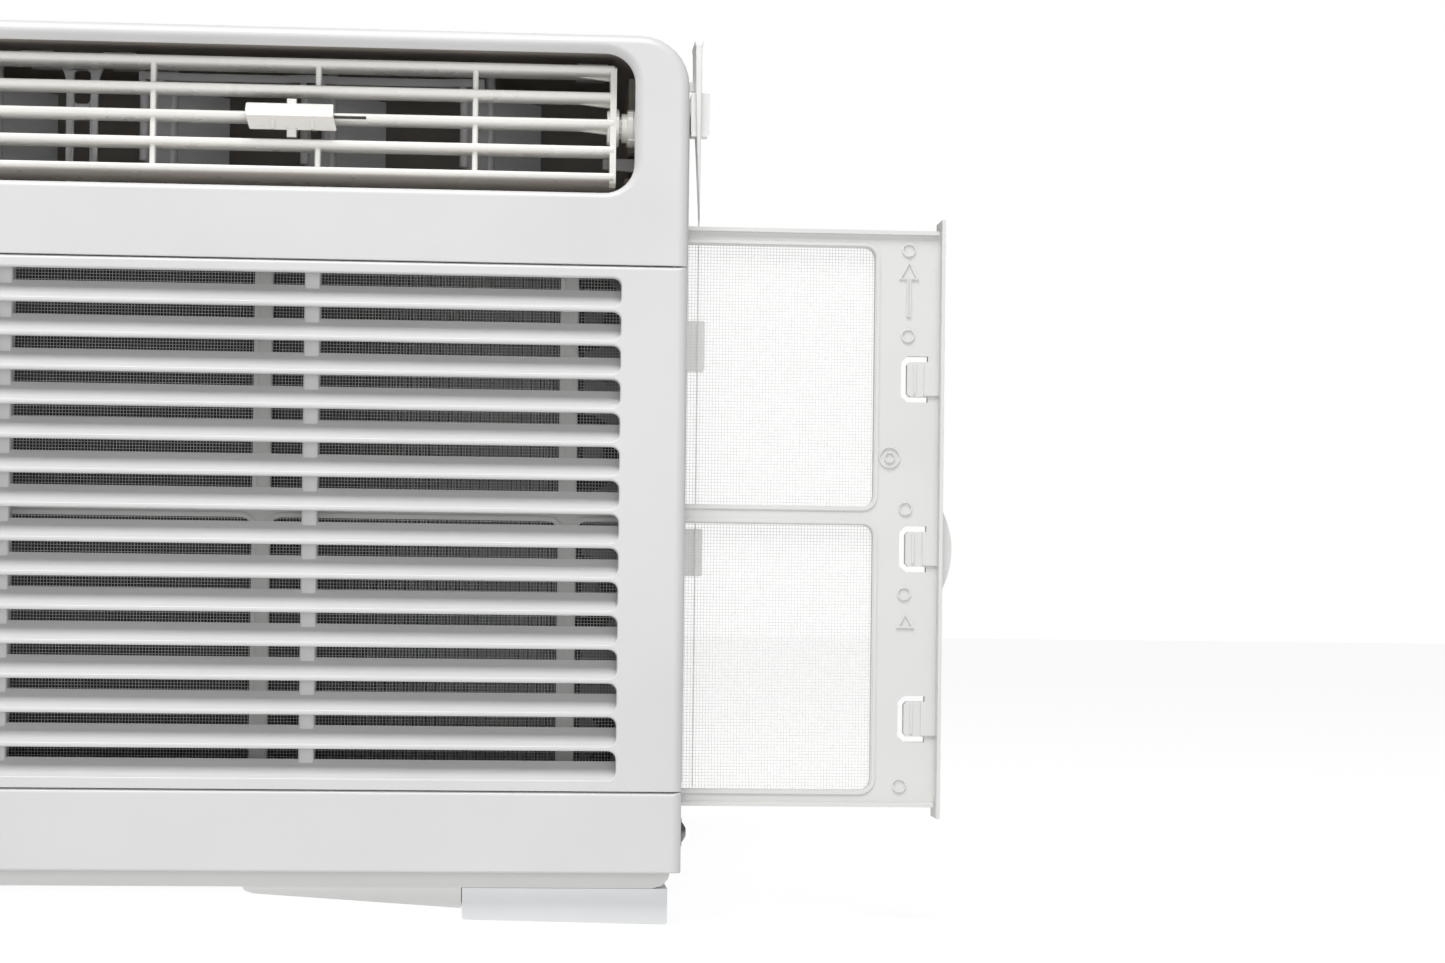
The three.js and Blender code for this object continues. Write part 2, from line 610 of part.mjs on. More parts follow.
function basePan() {
  const section = (inset, lift) => roundRect(-PAN_HALF + inset, PAN_HALF - inset,
    PAN_BOTTOM + inset, PAN_WALL_TOP + lift, [7 - inset, 7 - inset, 0.5, 0.5], 3);
  const body = prism('y', section(0, 0), deep(PAN_START), deep(CABINET_END - 1));
  const lip = prism('y', roundRect(-PAN_LIP_HALF, PAN_LIP_HALF, PAN_BOTTOM, PAN_LIP_TOP, [7, 7, 0.5, 0.5], 3),
    deep(PAN_START), deep(CABINET_START - GAP));
  const outer = join(body, lip);
  const inner = prism('y', section(PAN_SHEET, 10), deep(PAN_START + PAN_SHEET),
    deep(CABINET_END - 1 - PAN_SHEET));
  const rearFeet = [-1, 1].map((side) => {
    const x = side * 170;
    return box(x - 25, x + 25, deep(378), deep(408), 0, PAN_BOTTOM + 0.5);
  });
  return join(cut(outer, inner), drainTrough(), ...rearFeet);
}

// shallow pressing under the pan that leads condensate towards the foot
function drainTrough() {
  const top = PAN_BOTTOM + 0.5;
  const outline = [[151.7, top], [69, top], [69, 13.2], [70, 12.2], [73, 11.2], [151.7, 6]];
  return prism('y', outline, deep(10), deep(60));
}

// its underside falls by a little towards the outer end
function frontFoot() {
  const [inner, outer, top, fall] = [152, 230.4, PAN_BOTTOM - GAP, 1.6];
  return prism('y', [[inner, fall + 0.8], [inner + 0.8, fall], [outer - 0.8, 0], [outer, 0.8], [outer, top],
    [inner, top]], deep(10), deep(50));
}

function sillRail() {
  const half = RAIL_WIDTH / 2;
  const top = PAN_BOTTOM - GAP;
  const section = [[-half, 0], [half, 0], [half, 1.5], [-half + 1.5, 1.5], [-half + 1.5, top - 1.5],
    [half, top - 1.5], [half, top], [-half, top]];
  return prism('x', section, -RAIL_HALF, RAIL_HALF);
}

function topRail() {
  const z = CABINET_TOP + GAP;
  const back = deep(TOP_RAIL_DEEP);
  const top = z + TOP_RAIL_HEIGHT;
  const section = [[back - 20, z], [back + 1.5, z], [back + 1.5, top - 1.5], [back + 11, top - 1.5],
    [back + 11, top], [back, top], [back, z + 1.5], [back - 20, z + 1.5]];
  return prism('x', section, -RAIL_HALF, RAIL_HALF);
}

add('cabinet_shell', cabinetShell(), paintedSteel);
add('base_pan', basePan(), paintedSteel);
add('front_foot_right', frontFoot(), whitePlastic);
add('front_foot_left', mirrorX(frontFoot()), whitePlastic);
add('sill_rail', sillRail(), galvanised);
add('top_rail', topRail(), galvanised);

// ---------------------------------------------------------------- side curtains

const curtainNear = deep(CURTAIN_DEEP);
const curtainFar = deep(CURTAIN_DEEP + CURTAIN_DEPTH);

// gathered vinyl between the cabinet side and the outer frame
const curtainBellows = () => box(CURTAIN_INNER, CURTAIN_OUTER, curtainNear, curtainFar, 48, 332);

// outer frame strip with a latch, and an arm that runs in the top rail
function curtainFrame() {
  const x0 = CURTAIN_OUTER + GAP;
  const x1 = x0 + CURTAIN_FRAME;
  const strip = box(x0, x1, curtainNear, curtainFar, 46, 361.6);
  const groove = box(x0 + 0.9, x1 - 0.9, curtainNear - 1, curtainNear + 2, 352, 370);
  const arm = box(12, x0 + 0.5, deep(TOP_RAIL_DEEP + 2.4), deep(TOP_RAIL_DEEP + 5.4), 343, 358);
  const latch = prism('y', roundRect(x1 - 0.5, x1 + 3.6, 321, 340, 0.8, 1), curtainNear + 1, curtainFar - 4);
  const clips = CURTAIN_CLIPS.map(([low, high]) => box(x1 - 0.5, x1 + 2.6,
    curtainNear + 6, curtainFar - 6, low, high));
  return join(cut(strip, groove), arm, latch, ...clips);
}

add('curtain_bellows_right', curtainBellows(), vinyl);
add('curtain_bellows_left', mirrorX(curtainBellows()), vinyl);
add('curtain_frame_right', curtainFrame(), vinyl);
add('curtain_frame_left', mirrorX(curtainFrame()), vinyl);

// ---------------------------------------------------------------- coils

// half-turn of tube standing out of one end of a coil
function returnBend(x, side, y, z) {
  const points = [];
  for (let i = 0; i <= 5; i++) {
    const angle = -Math.PI / 2 + (Math.PI * i) / 5;
    points.push([x + side * BEND_RADIUS * Math.cos(angle), y, z + BEND_RADIUS * Math.sin(angle)]);
  }
  return tube(points, BEND_TUBE, 5, 5);
}

// finned block with its tubes joined by return bends at both ends
function coil({ left, right, near, far, bottom, top }, count) {
  const y = deep((near + far) / 2);
  const pitch = (top - bottom) / count;
  const bends = [];
  for (let i = 0; i < count; i++) {
    const z = bottom + pitch * (i + 0.5);
    bends.push(returnBend(right - 0.5, 1, y, z));
    if (i > 0) bends.push(returnBend(left + 0.5, -1, y, z - pitch / 2));
  }
  return join(box(left, right, deep(near), deep(far), bottom, top), ...bends);
}

add('evaporator_coil', coil(EVAPORATOR, 4), aluminium);
add('condenser_coil', coil(CONDENSER, 5), aluminium);

// ---------------------------------------------------------------- blower, fan and motor

// outline of the scroll that grows round the wheel and leaves upwards on the right
function scrollOutline(inset, top) {
  const [start, growth, steps] = [WHEEL_RADIUS + 8 - inset, 22, 14];
  const points = inset > 0 ? [[FAN_X + inset, FAN_Z + start]] : [];
  for (let i = 0; i <= steps; i++) {
    const angle = Math.PI * (0.5 + (1.5 * i) / steps);
    const radius = start + (growth * i) / steps;
    points.push([FAN_X + radius * Math.cos(angle), FAN_Z + radius * Math.sin(angle)]);
  }
  points.push([FAN_X + start + growth, top], [FAN_X + inset, top]);
  return points;
}

function blowerHousing() {
  const [y0, y1] = [deep(62), deep(DUCT_DEPTH)];
  const outer = prism('y', scrollOutline(0, DUCT_BOTTOM - GAP), y0, y1);
  const hollow = prism('y', scrollOutline(2, DUCT_BOTTOM + 10), y0 + 2, y1 - 2);
  const inlet = rod('y', 62, y0 - 5, y0 + 5, FAN_X, FAN_Z, 24);
  const shaftHole = rod('y', 14, y1 - 5, y1 + 5, FAN_X, FAN_Z, 12);
  return cut(outer, hollow, inlet, shaftHole);
}

function blowerWheel() {
  const [front, back] = [deep(70), deep(122)];
  const count = WHEEL_PADDLES;
  const rim = cut(rod('y', WHEEL_RADIUS, front, front + 3, FAN_X, FAN_Z, count),
    rod('y', WHEEL_RADIUS - 13, front - 1, front + 4, FAN_X, FAN_Z, count));
  const disc = cut(join(rod('y', WHEEL_RADIUS, back - 2, back, FAN_X, FAN_Z, count),
    rod('y', 11, back - 18, back, FAN_X, FAN_Z, 12)),
    rod('y', SHAFT_RADIUS + GAP, back - 30, back + 5, FAN_X, FAN_Z, 12));
  const blades = [];
  for (let i = 0; i < count; i++) {
    const paddle = box(WHEEL_RADIUS - 12.5, WHEEL_RADIUS - 1.2, front + 2, back - 1, -0.6, 0.6);
    paddle.translate(-WHEEL_RADIUS + 6, 0, 0).rotateY(PADDLE_LEAN).translate(WHEEL_RADIUS - 6, 0, 0);
    blades.push(paddle.rotateY((2 * Math.PI * (i + 0.5)) / count).translate(FAN_X, 0, FAN_Z));
  }
  return join(rim, disc, ...blades);
}

// pitched blade, lofted between four stations from hub to tip
function fanBlade(hub, tip) {
  const rings = [];
  for (let i = 0; i <= 3; i++) {
    const radius = hub + ((tip - hub) * i) / 3;
    const half = 20 + 5 * i;
    const pitch = THREE.MathUtils.degToRad(42 - 7 * i);
    const [c, s] = [Math.cos(pitch), Math.sin(pitch)];
    const corner = (along, across) => [radius, along * s + across * c, along * c - across * s];
    rings.push([corner(-half, -1), corner(half, -1), corner(half, 1), corner(-half, 1)]);
  }
  return loft(rings);
}

function condenserFan() {
  const middle = deep(348);
  const pieces = [rod('y', 26, middle - 12, middle + 12, FAN_X, FAN_Z, 20)];
  for (let i = 0; i < FAN_BLADES; i++) {
    const turned = fanBlade(22, FAN_RADIUS - 1).rotateY((2 * Math.PI * i) / FAN_BLADES);
    pieces.push(turned.translate(FAN_X, middle, FAN_Z));
  }
  const slinger = cut(rod('y', FAN_RADIUS + 3, middle - 6, middle + 6, FAN_X, FAN_Z, 36),
    rod('y', FAN_RADIUS - 2, middle - 8, middle + 8, FAN_X, FAN_Z, 36));
  const bore = rod('y', SHAFT_RADIUS + GAP, middle - 20, middle + 20, FAN_X, FAN_Z, 12);
  return cut(join(...pieces, slinger), bore);
}

function fanMotor() {
  const body = join(rod('y', 48, deep(168), deep(222), FAN_X, FAN_Z, 24),
    rod('y', 20, deep(158), deep(232), FAN_X, FAN_Z, 16));
  return cut(body, rod('y', SHAFT_RADIUS + 0.6, deep(150), deep(240), FAN_X, FAN_Z, 12));
}

function motorBracket() {
  const outline = [[FAN_X - 62, PAN_FLOOR + GAP], [FAN_X + 62, PAN_FLOOR + GAP], [FAN_X + 40, FAN_Z - 20],
    [FAN_X - 40, FAN_Z - 20]];
  const foot = box(FAN_X - 62, FAN_X + 62, deep(168), deep(222), PAN_FLOOR + GAP, PAN_FLOOR + 3);
  return cut(join(prism('y', outline, deep(192), deep(196)), foot),
    rod('y', 48 + GAP, deep(160), deep(230), FAN_X, FAN_Z, 24));
}

function fanShroud() {
  const outline = roundRect(-226, 196, PAN_FLOOR + GAP, 326, 6, 2);
  const plate = prism('y', outline, deep(360), deep(361.5));
  const collar = rod('y', FAN_RADIUS + 9.5, deep(342), deep(361), FAN_X, FAN_Z, 32);
  return cut(join(plate, collar), rod('y', FAN_RADIUS + 8, deep(330), deep(370), FAN_X, FAN_Z, 32));
}

function bulkhead() {
  const outline = roundRect(-228.2, 228.2, PAN_FLOOR + GAP, 335.4, [6, 6, 15, 15], 3);
  const holes = [circle(FAN_X, FAN_Z, 14, 12), circle(216, 241, 9, 8), circle(216, 60, 7, 8)];
  return prism('y', outline, deep(134), deep(135.2), holes);
}

add('blower_housing', blowerHousing(), darkPlastic);
add('blower_wheel', blowerWheel(), greyPlastic);
add('fan_shaft', rod('y', SHAFT_RADIUS, deep(98), deep(366), FAN_X, FAN_Z, 12), galvanised);
add('condenser_fan', condenserFan(), greyPlastic);
add('fan_motor', fanMotor(), galvanised);
add('motor_bracket', motorBracket(), galvanised);
add('fan_shroud', fanShroud(), darkPlastic);
add('bulkhead', bulkhead(), galvanised);

// ---------------------------------------------------------------- compressor and piping

const COMPRESSOR = { x: 150, y: deep(250), radius: 55, bottom: 34, top: 212 };
const ACCUMULATOR = { x: 70, y: deep(276), radius: 20, bottom: 80, top: 186 };

function vessel(spot, sides) {
  const dome = spot.radius * 0.45;
  const [shoulder, low, high] = [spot.radius * 0.7, spot.bottom + dome * 0.25, spot.top - dome * 0.25];
  const profile = [[0, spot.bottom], [shoulder, low], [spot.radius, spot.bottom + dome],
    [spot.radius, spot.top - dome], [shoulder, high], [0, spot.top]];
  const points = profile.map(([radius, z]) => new THREE.Vector2(radius, z));
  return new THREE.LatheGeometry(points, sides).rotateX(Math.PI / 2).translate(spot.x, spot.y, 0);
}

function compressor() {
  const plate = prism('z', circle(COMPRESSOR.x, COMPRESSOR.y, 72, 3), 30, 33.5);
  const seat = rod('z', 40, 32, 60, COMPRESSOR.x, COMPRESSOR.y, 16);
  const strap = tube([[ACCUMULATOR.x, ACCUMULATOR.y, 120], [110, deep(262), 120]], 5, 1, 6);
  return join(vessel(COMPRESSOR, 20), plate, seat, vessel(ACCUMULATOR, 14), strap);
}

// plate with three soft feet under the compressor
function compressorMount() {
  const feet = circle(COMPRESSOR.x, COMPRESSOR.y, 56, 3);
  const plate = prism('z', circle(COMPRESSOR.x, COMPRESSOR.y, 70, 3), PAN_FLOOR + GAP, PAN_FLOOR + 3);
  return join(plate, ...feet.map(([x, y]) => rod('z', 9, PAN_FLOOR + 2, 30 - GAP, x, y, 12)));
}

const suctionRoute = [[ACCUMULATOR.x, ACCUMULATOR.y, 186.5], [ACCUMULATOR.x, ACCUMULATOR.y, 236],
  [100, deep(262), 252], [190, deep(215), 250], [216, deep(170), 241], [216, deep(110), 241],
  [216, deep(62), 256], [209, deep(48), 260], [203, deep(46), 260], [197, deep(46), 260]];
const dischargeRoute = [[COMPRESSOR.x, COMPRESSOR.y, 212.5], [COMPRESSOR.x, COMPRESSOR.y, 235],
  [178, deep(280), 262], [212, deep(330), 285], [216, deep(370), 312], [214, deep(392), 315],
  [210, deep(400), 315], [206, deep(400), 315]];
const liquidRoute = [[206, deep(400), 24], [210, deep(400), 24], [215, deep(388), 26], [216, deep(300), 56],
  [216, deep(200), 60], [216, deep(100), 60], [214, deep(62), 50], [209, deep(48), 48], [203, deep(46), 48],
  [197, deep(46), 48]];

add('compressor', compressor(), blackPaint);
add('compressor_mount', compressorMount(), rubber);
add('suction_tube', tube(suctionRoute, 4.5, 22), copper);
add('discharge_tube', tube(dischargeRoute, 3.5, 16), copper);
add('liquid_tube', tube(liquidRoute, 2.5, 22), copper);

// ---------------------------------------------------------------- rear guard, cord gland, screws

function rearGuard() {
  const outline = roundRect(-229.5, 229.5, PAN_FLOOR, 335.2, [2, 2, 15, 15], 3);
  const [columns, rows, bar] = [3, 10, 5];
  const [left, right, low, high] = [-215, 215, 28, 322];
  const width = (right - left + bar) / columns;
  const height = (high - low + bar) / rows;
  const windows = [];
  for (let column = 0; column < columns; column++) {
    for (let row = 0; row < rows; row++) {
      const [x, z] = [left + column * width, low + row * height];
      windows.push(box(x, x + width - bar, deep(CABINET_END - 5), deep(CABINET_END + 9), z, z + height - bar));
    }
  }
  return cut(prism('y', outline, deep(CABINET_END + GAP), deep(CABINET_END + 3.6)), ...windows);
}

// grommet in the panel side where the supply cord would leave
function cordGland() {
  const ring = rod('x', 8, -PANEL_HALF - 5, -PANEL_HALF - 1.2, deep(46), 42, 16);
  return cut(ring, rod('x', 4, -PANEL_HALF - 9, -PANEL_HALF + 5, deep(46), 42, 12));
}

// hexagon head and thin washer that hold the lower fascia to the pan
function fasciaScrew() {
  const x = PANEL_HALF + 0.5 + GAP;
  const [y, z] = [deep(24), 34.4];
  return join(rod('x', 5.8, x, x + 0.5, y, z, 20), rod('x', 3.9, x + 0.3, x + 2.4, y, z, 6));
}

add('rear_guard', rearGuard(), paintedSteel);
add('cord_gland', cordGland(), rubber);
add('fascia_screw_right', fasciaScrew(), galvanised);
add('fascia_screw_left', mirrorX(fasciaScrew()), galvanised);

export default assembly;
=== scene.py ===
"""Looks of a window air conditioner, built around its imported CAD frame.

Lengths are millimetres until a mesh is made. x runs right, z up, and "d" is how far a point lies behind
the front face of the panel, so y = d - 170.
"""
import math

import bmesh
import bpy
from mathutils import Matrix, Vector
from mathutils.geometry import tessellate_polygon


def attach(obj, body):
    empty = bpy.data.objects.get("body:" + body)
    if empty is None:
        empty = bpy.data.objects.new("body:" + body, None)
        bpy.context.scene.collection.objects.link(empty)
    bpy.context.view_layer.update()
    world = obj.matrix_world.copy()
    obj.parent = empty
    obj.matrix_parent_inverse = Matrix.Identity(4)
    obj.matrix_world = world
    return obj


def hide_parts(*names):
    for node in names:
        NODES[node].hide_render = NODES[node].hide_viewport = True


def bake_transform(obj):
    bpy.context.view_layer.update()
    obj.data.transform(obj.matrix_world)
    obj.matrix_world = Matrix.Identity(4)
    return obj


MM = 0.001
FRONT = -170.0

# panel
PANEL_HALF = 235.0
PANEL_TOP = 340.0
PANEL_BOTTOM = 20.4
PANEL_DEPTH = 58.0
PANEL_WALL = 2.5
PANEL_CORNER = 19.0
PANEL_EDGE = 4.0
SEAM_UPPER = 251.6
SEAM_LOWER = 51.2
SEAM_GAP = 0.3

# outlet and louvers
OUTLET = (-214.2, 214.2, 279.4, 332.8)
OUTLET_CORNER = 11.5
DUCT = (-219.0, 219.0, 275.6, 335.4)
LOUVER_HALF = 207.4
LOUVER_AXIS = (20.0, 307.0)
BLADE_TOP = 330.1
BLADE_PITCH = 10.38
BLADE_HEIGHT = 3.5
BAR_X = (30.6, 93.2, 153.2)
VANE_X = (34.0, 96.3, 158.6)
VANE_DEEP = 52.0
VANE_REST = 45.0
VANE_LEAD = 14.0
VANE_CRANK = 10.0
VANE_TRAIL = 28.0
VANE_BOTTOM = 290.0
VANE_TOP = 323.5
TAB_CENTRE = {1: 82.7, -1: -109.9}
TAB_ARM = {1: 86.4, -1: -106.2}
TAB_SLOT = (81.0, 111.6)
MIDDLE_BLADE = 2
MIDDLE_HEIGHT = BLADE_TOP - MIDDLE_BLADE * BLADE_PITCH - BLADE_HEIGHT / 2

# grille
SLOT_COUNT = 15
SLOT_TOP = 246.8
SLOT_PITCH = 12.87
SLOT_HEIGHT = 10.87
SLOT_LEFT = -140.0
SLOT_RIGHT = 209.7
SLAT_DEPTH = 8.0
SLAT_RISE = 6.8
RIB_X = (92.4, -23.0)
RIB_WIDTH = 6.1

# filter
FILTER_DEEP = 20.0
FILTER_THICK = 4.0
FILTER_SLOT = (18.1, 25.8)
FILTER = (-48.0, 335.0, 45.0, 269.4)
FILTER_COLUMNS = ((-41.0, 69.6), (76.6, 187.0), (194.0, 309.4))
FILTER_ROWS = ((51.5, 154.4), (161.8, 262.7))
NET_PITCH = 1.22
NET_HALF_THREAD = 0.09
CLIP_Z = (211.6, 145.4, 79.2)

# controls
CONTROL = (-222.0, -152.0, 66.0, 247.0)
DISPLAY = (-210.0, -164.0, 205.0, 233.0)
BUTTON_RADIUS = 8.0
BUTTONS = {
    "button_temp_up": (-171.0, 180.0),
    "button_temp_down": (-171.0, 150.0),
    "button_mode": (-203.0, 180.0),
    "button_fan": (-203.0, 150.0),
    "button_power": (-187.0, 118.0),
}

# coils
FIN_PITCH = 1.8
EVAPORATOR = (-150.0, 196.0, 31.0, 57.0, 42.0, 266.0)
CONDENSER = (-210.0, 205.0, 386.0, 418.0, 18.0, 322.0)

# side curtains
BELLOWS_X = (231.8, 244.2)
BELLOWS_D = (124.0, 146.0)
BELLOWS_Z = (48.0, 332.0)
STRIP_X = (244.5, 247.3)
CURTAIN_CLIPS = ((222.0, 243.0), (135.0, 155.0))

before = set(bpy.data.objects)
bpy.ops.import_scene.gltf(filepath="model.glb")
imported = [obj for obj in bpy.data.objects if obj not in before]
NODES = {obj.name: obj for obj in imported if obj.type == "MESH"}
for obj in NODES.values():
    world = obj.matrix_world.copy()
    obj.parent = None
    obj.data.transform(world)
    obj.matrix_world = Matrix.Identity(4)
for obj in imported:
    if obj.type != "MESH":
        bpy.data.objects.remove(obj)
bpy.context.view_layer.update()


# ---- mesh helpers

def point(x, d, z):
    return Vector((x, FRONT + d, z)) * MM


def span(side, a, b):
    """Two stations beside the middle in rising order. Side 1 is the right, side -1 the left."""
    return sorted((side * a, side * b))


def arc(cx, cz, radius, start, end, steps):
    """Points on an arc, from start to end in degrees."""
    out = []
    for i in range(steps + 1):
        a = math.radians(start + (end - start) * i / steps)
        out.append((cx + radius * math.cos(a), cz + radius * math.sin(a)))
    return out


def round_rect(x0, x1, z0, z1, radii, steps=6):
    """Rounded rectangle, anticlockwise from the lower left. radii is one number or (ll, lr, ur, ul)."""
    if not isinstance(radii, (tuple, list)):
        radii = (radii,) * 4
    corners = ((x0, z0, 1, 1, 180), (x1, z0, -1, 1, 270), (x1, z1, -1, -1, 0), (x0, z1, 1, -1, 90))
    out = []
    for (x, z, sx, sz, start), r in zip(corners, radii):
        r = max(r, 0.02)
        out += arc(x + sx * r, z + sz * r, r, start, start + 90, steps)
    return out


def circle(cx, cz, radius, sides=32):
    return arc(cx, cz, radius, 0, 360 - 360 / sides, sides - 1)


def skin(bm, a, b):
    """Faces between two loops of vertices with equal counts."""
    for i in range(len(a)):
        j = (i + 1) % len(a)
        bm.faces.new((a[i], a[j], b[j], b[i]))


def add_prism(bm, outline, d0, d1, holes=(), axis="y", place=None):
    """Extrudes an outline with holes between two stations on an axis.

    The outline is (x, z) on y, (d, z) on x and (x, d) on z. place is for a slanted axis of its own.
    """
    place = place or {
        "y": lambda a, b, t: point(a, t, b),
        "x": lambda a, b, t: point(t, a, b),
        "z": lambda a, b, t: point(a, b, t),
    }[axis]
    loops = [list(outline)] + [list(h) for h in holes]
    near = [[bm.verts.new(place(a, b, d0)) for a, b in loop] for loop in loops]
    far = [[bm.verts.new(place(a, b, d1)) for a, b in loop] for loop in loops]
    flat_near = [v for loop in near for v in loop]
    flat_far = [v for loop in far for v in loop]
    for tri in tessellate_polygon([[Vector((a, b, 0)) for a, b in loop] for loop in loops]):
        for flat in (flat_near, flat_far):
            corners = [flat[i] for i in tri]
            if len(set(corners)) == 3:
                bm.faces.new(corners)
    for front, back in zip(near, far):
        skin(bm, front, back)


def add_loft(bm, rings, capped=True):
    """Skins closed rings of points with equal counts."""
    rows = [[bm.verts.new(p) for p in ring] for ring in rings]
    for a, b in zip(rows, rows[1:]):
        skin(bm, a, b)
    if capped:
        bm.faces.new(rows[0])
        bm.faces.new(rows[-1])


def add_box(bm, x0, x1, d0, d1, z0, z1):
    add_prism(bm, [(x0, z0), (x1, z0), (x1, z1), (x0, z1)], d0, d1)


def add_rod(bm, radius, start, end, a, b, axis="x", sides=24):
    """Cylinder along an axis. a, b are (d, z) on x, (x, z) on y and (x, d) on z."""
    add_prism(bm, circle(a, b, radius, sides), start, end, axis=axis)


def add_lathe(bm, profile, centre, axis, sides=32, capped=True):
    """Turns (radius, along) points round an axis through centre, given as (x, d, z)."""
    rings = []
    for radius, along in profile:
        ring = []
        for i in range(sides):
            a = 2 * math.pi * i / sides
            u, v = radius * math.cos(a), radius * math.sin(a)
            offset = {"x": (along, u, v), "y": (u, along, v), "z": (u, v, along)}[axis]
            ring.append(point(*(c + o for c, o in zip(centre, offset))))
        rings.append(ring)
    add_loft(bm, rings, capped=capped)


def add_tube(bm, path, radius, sides=8):
    """Round tube along a list of (x, d, z) points."""
    pts = [point(*p) for p in path]
    rings = []
    normal = None
    for i, p in enumerate(pts):
        tangent = (pts[min(i + 1, len(pts) - 1)] - pts[max(i - 1, 0)]).normalized()
        if normal is None:
            normal = tangent.orthogonal().normalized()
        normal = (normal - tangent * normal.dot(tangent)).normalized()
        other = tangent.cross(normal)
        angles = [2 * math.pi * k / sides for k in range(sides)]
        rings.append([p + (normal * math.cos(a) + other * math.sin(a)) * radius * MM for a in angles])
    add_loft(bm, rings)


def new_object(name, bm, weld=True):
    if weld:
        bmesh.ops.remove_doubles(bm, verts=bm.verts, dist=1e-7)
    bmesh.ops.recalc_face_normals(bm, faces=bm.faces)
    mesh = bpy.data.meshes.new(name)
    bm.to_mesh(mesh)
    bm.free()
    obj = bpy.data.objects.new(name, mesh)
    bpy.context.scene.collection.objects.link(obj)
    return obj


def smooth(obj):
    for poly in obj.data.polygons:
        poly.use_smooth = True


def weigh_normals(obj):
    """Lets the large faces set the normals, so that flat faces stay flat beside rounded edges."""
    obj.modifiers.new("weighted", "WEIGHTED_NORMAL").keep_sharp = True


def add_bevel(obj, width, angle, segments=2):
    """Live bevel on edges sharper than the angle, its width in millimetres."""
    mod = obj.modifiers.new("bevel", "BEVEL")
    mod.width = width * MM
    mod.segments = segments
    mod.limit_method = "ANGLE"
    mod.angle_limit = math.radians(angle)
    weigh_normals(obj)


def shade(obj, angle=35.0, bevel=0.0, segments=2, rounded=False):
    """Smooth shading with crisp or bevelled edges. rounded is for meshes whose edges are rounded already."""
    smooth(obj)
    if bevel:
        add_bevel(obj, bevel, angle, segments)
    else:
        obj.data.set_sharp_from_angle(angle=math.radians(angle))
        if rounded:
            weigh_normals(obj)


def cut(obj, cutters):
    """Subtracts each cutter object from obj for good."""
    for cutter in cutters:
        mod = obj.modifiers.new("cut", "BOOLEAN")
        mod.operation = "DIFFERENCE"
        mod.solver = "EXACT"
        mod.object = cutter
    graph = bpy.context.evaluated_depsgraph_get()
    mesh = bpy.data.meshes.new_from_object(obj.evaluated_get(graph))
    obj.modifiers.clear()
    old = obj.data
    obj.data = mesh
    bpy.data.meshes.remove(old)
    for cutter in cutters:
        bpy.data.objects.remove(cutter)


def finish(obj, material, body, *nodes, slot=None):
    """Gives a piece its material and body, and hides its CAD nodes. slot is not used."""
    obj.data.materials.clear()
    obj.data.materials.append(material)
    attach(obj, body)
    if nodes:
        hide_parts(*nodes)


def piece(bm, name, material, body, *nodes, slot=None, weld=True, **look):
    """Makes, shades and finishes one piece. look goes to shade."""
    obj = new_object(name, bm, weld)
    shade(obj, **look)
    finish(obj, material, body, *nodes, slot=slot)


# ---- materials

def srgb(code):
    values = [int(code[i:i + 2], 16) / 255 for i in (0, 2, 4)]
    return tuple(v / 12.92 if v <= 0.04045 else ((v + 0.055) / 1.055) ** 2.4 for v in values) + (1.0,)


def base_material(name):
    material = bpy.data.materials.new(name)
    material["slot"] = name
    material.use_nodes = True
    tree = material.node_tree
    shader = tree.nodes["Principled BSDF"]
    coords = tree.nodes.new("ShaderNodeTexCoord")
    return material, tree, shader, coords.outputs["Object"]


def noise(tree, coords, scale, detail=3.0):
    node = tree.nodes.new("ShaderNodeTexNoise")
    node.inputs["Scale"].default_value = scale
    node.inputs["Detail"].default_value = detail
    tree.links.new(coords, node.inputs["Vector"])
    return node.outputs["Fac"]


def ramp(tree, factor, stops):
    node = tree.nodes.new("ShaderNodeValToRGB")
    elements = node.color_ramp.elements
    while len(elements) < len(stops):
        elements.new(0.5)
    for element, (position, color) in zip(elements, stops):
        element.position = position
        element.color = color
    tree.links.new(factor, node.inputs["Fac"])
    return node.outputs["Color"]


def bump(tree, shader, height, strength, distance):
    node = tree.nodes.new("ShaderNodeBump")
    node.inputs["Strength"].default_value = strength
    node.inputs["Distance"].default_value = distance * MM
    tree.links.new(height, node.inputs["Height"])
    tree.links.new(node.outputs["Normal"], shader.inputs["Normal"])


def tint(tree, shader, factor, dark, light, low=0.3, high=0.7):
    """Base colour that runs from dark to light with a factor."""
    color = ramp(tree, factor, [(low, srgb(dark)), (high, srgb(light))])
    tree.links.new(color, shader.inputs["Base Color"])


def vary_roughness(tree, shader, factor, least, most, low=0.3, high=0.7):
    spread = ramp(tree, factor, [(low, (least,) * 3 + (1,)), (high, (most,) * 3 + (1,))])
    tree.links.new(spread, shader.inputs["Roughness"])


def moulded(name, dark, light, roughness, grain=0.05, coat=0.0, grain_scale=2600.0):
    """Moulded plastic: slight clouding of colour, satin roughness and a fine tool-textured grain."""
    material, tree, shader, coords = base_material(name)
    tint(tree, shader, noise(tree, coords, 14.0), dark, light)
    vary_roughness(tree, shader, noise(tree, coords, 60.0), roughness - 0.05, roughness + 0.05)
    shader.inputs["Coat Weight"].default_value = coat
    shader.inputs["Coat Roughness"].default_value = 0.25
    bump(tree, shader, noise(tree, coords, grain_scale, 2.0), grain, 0.05)
    return material


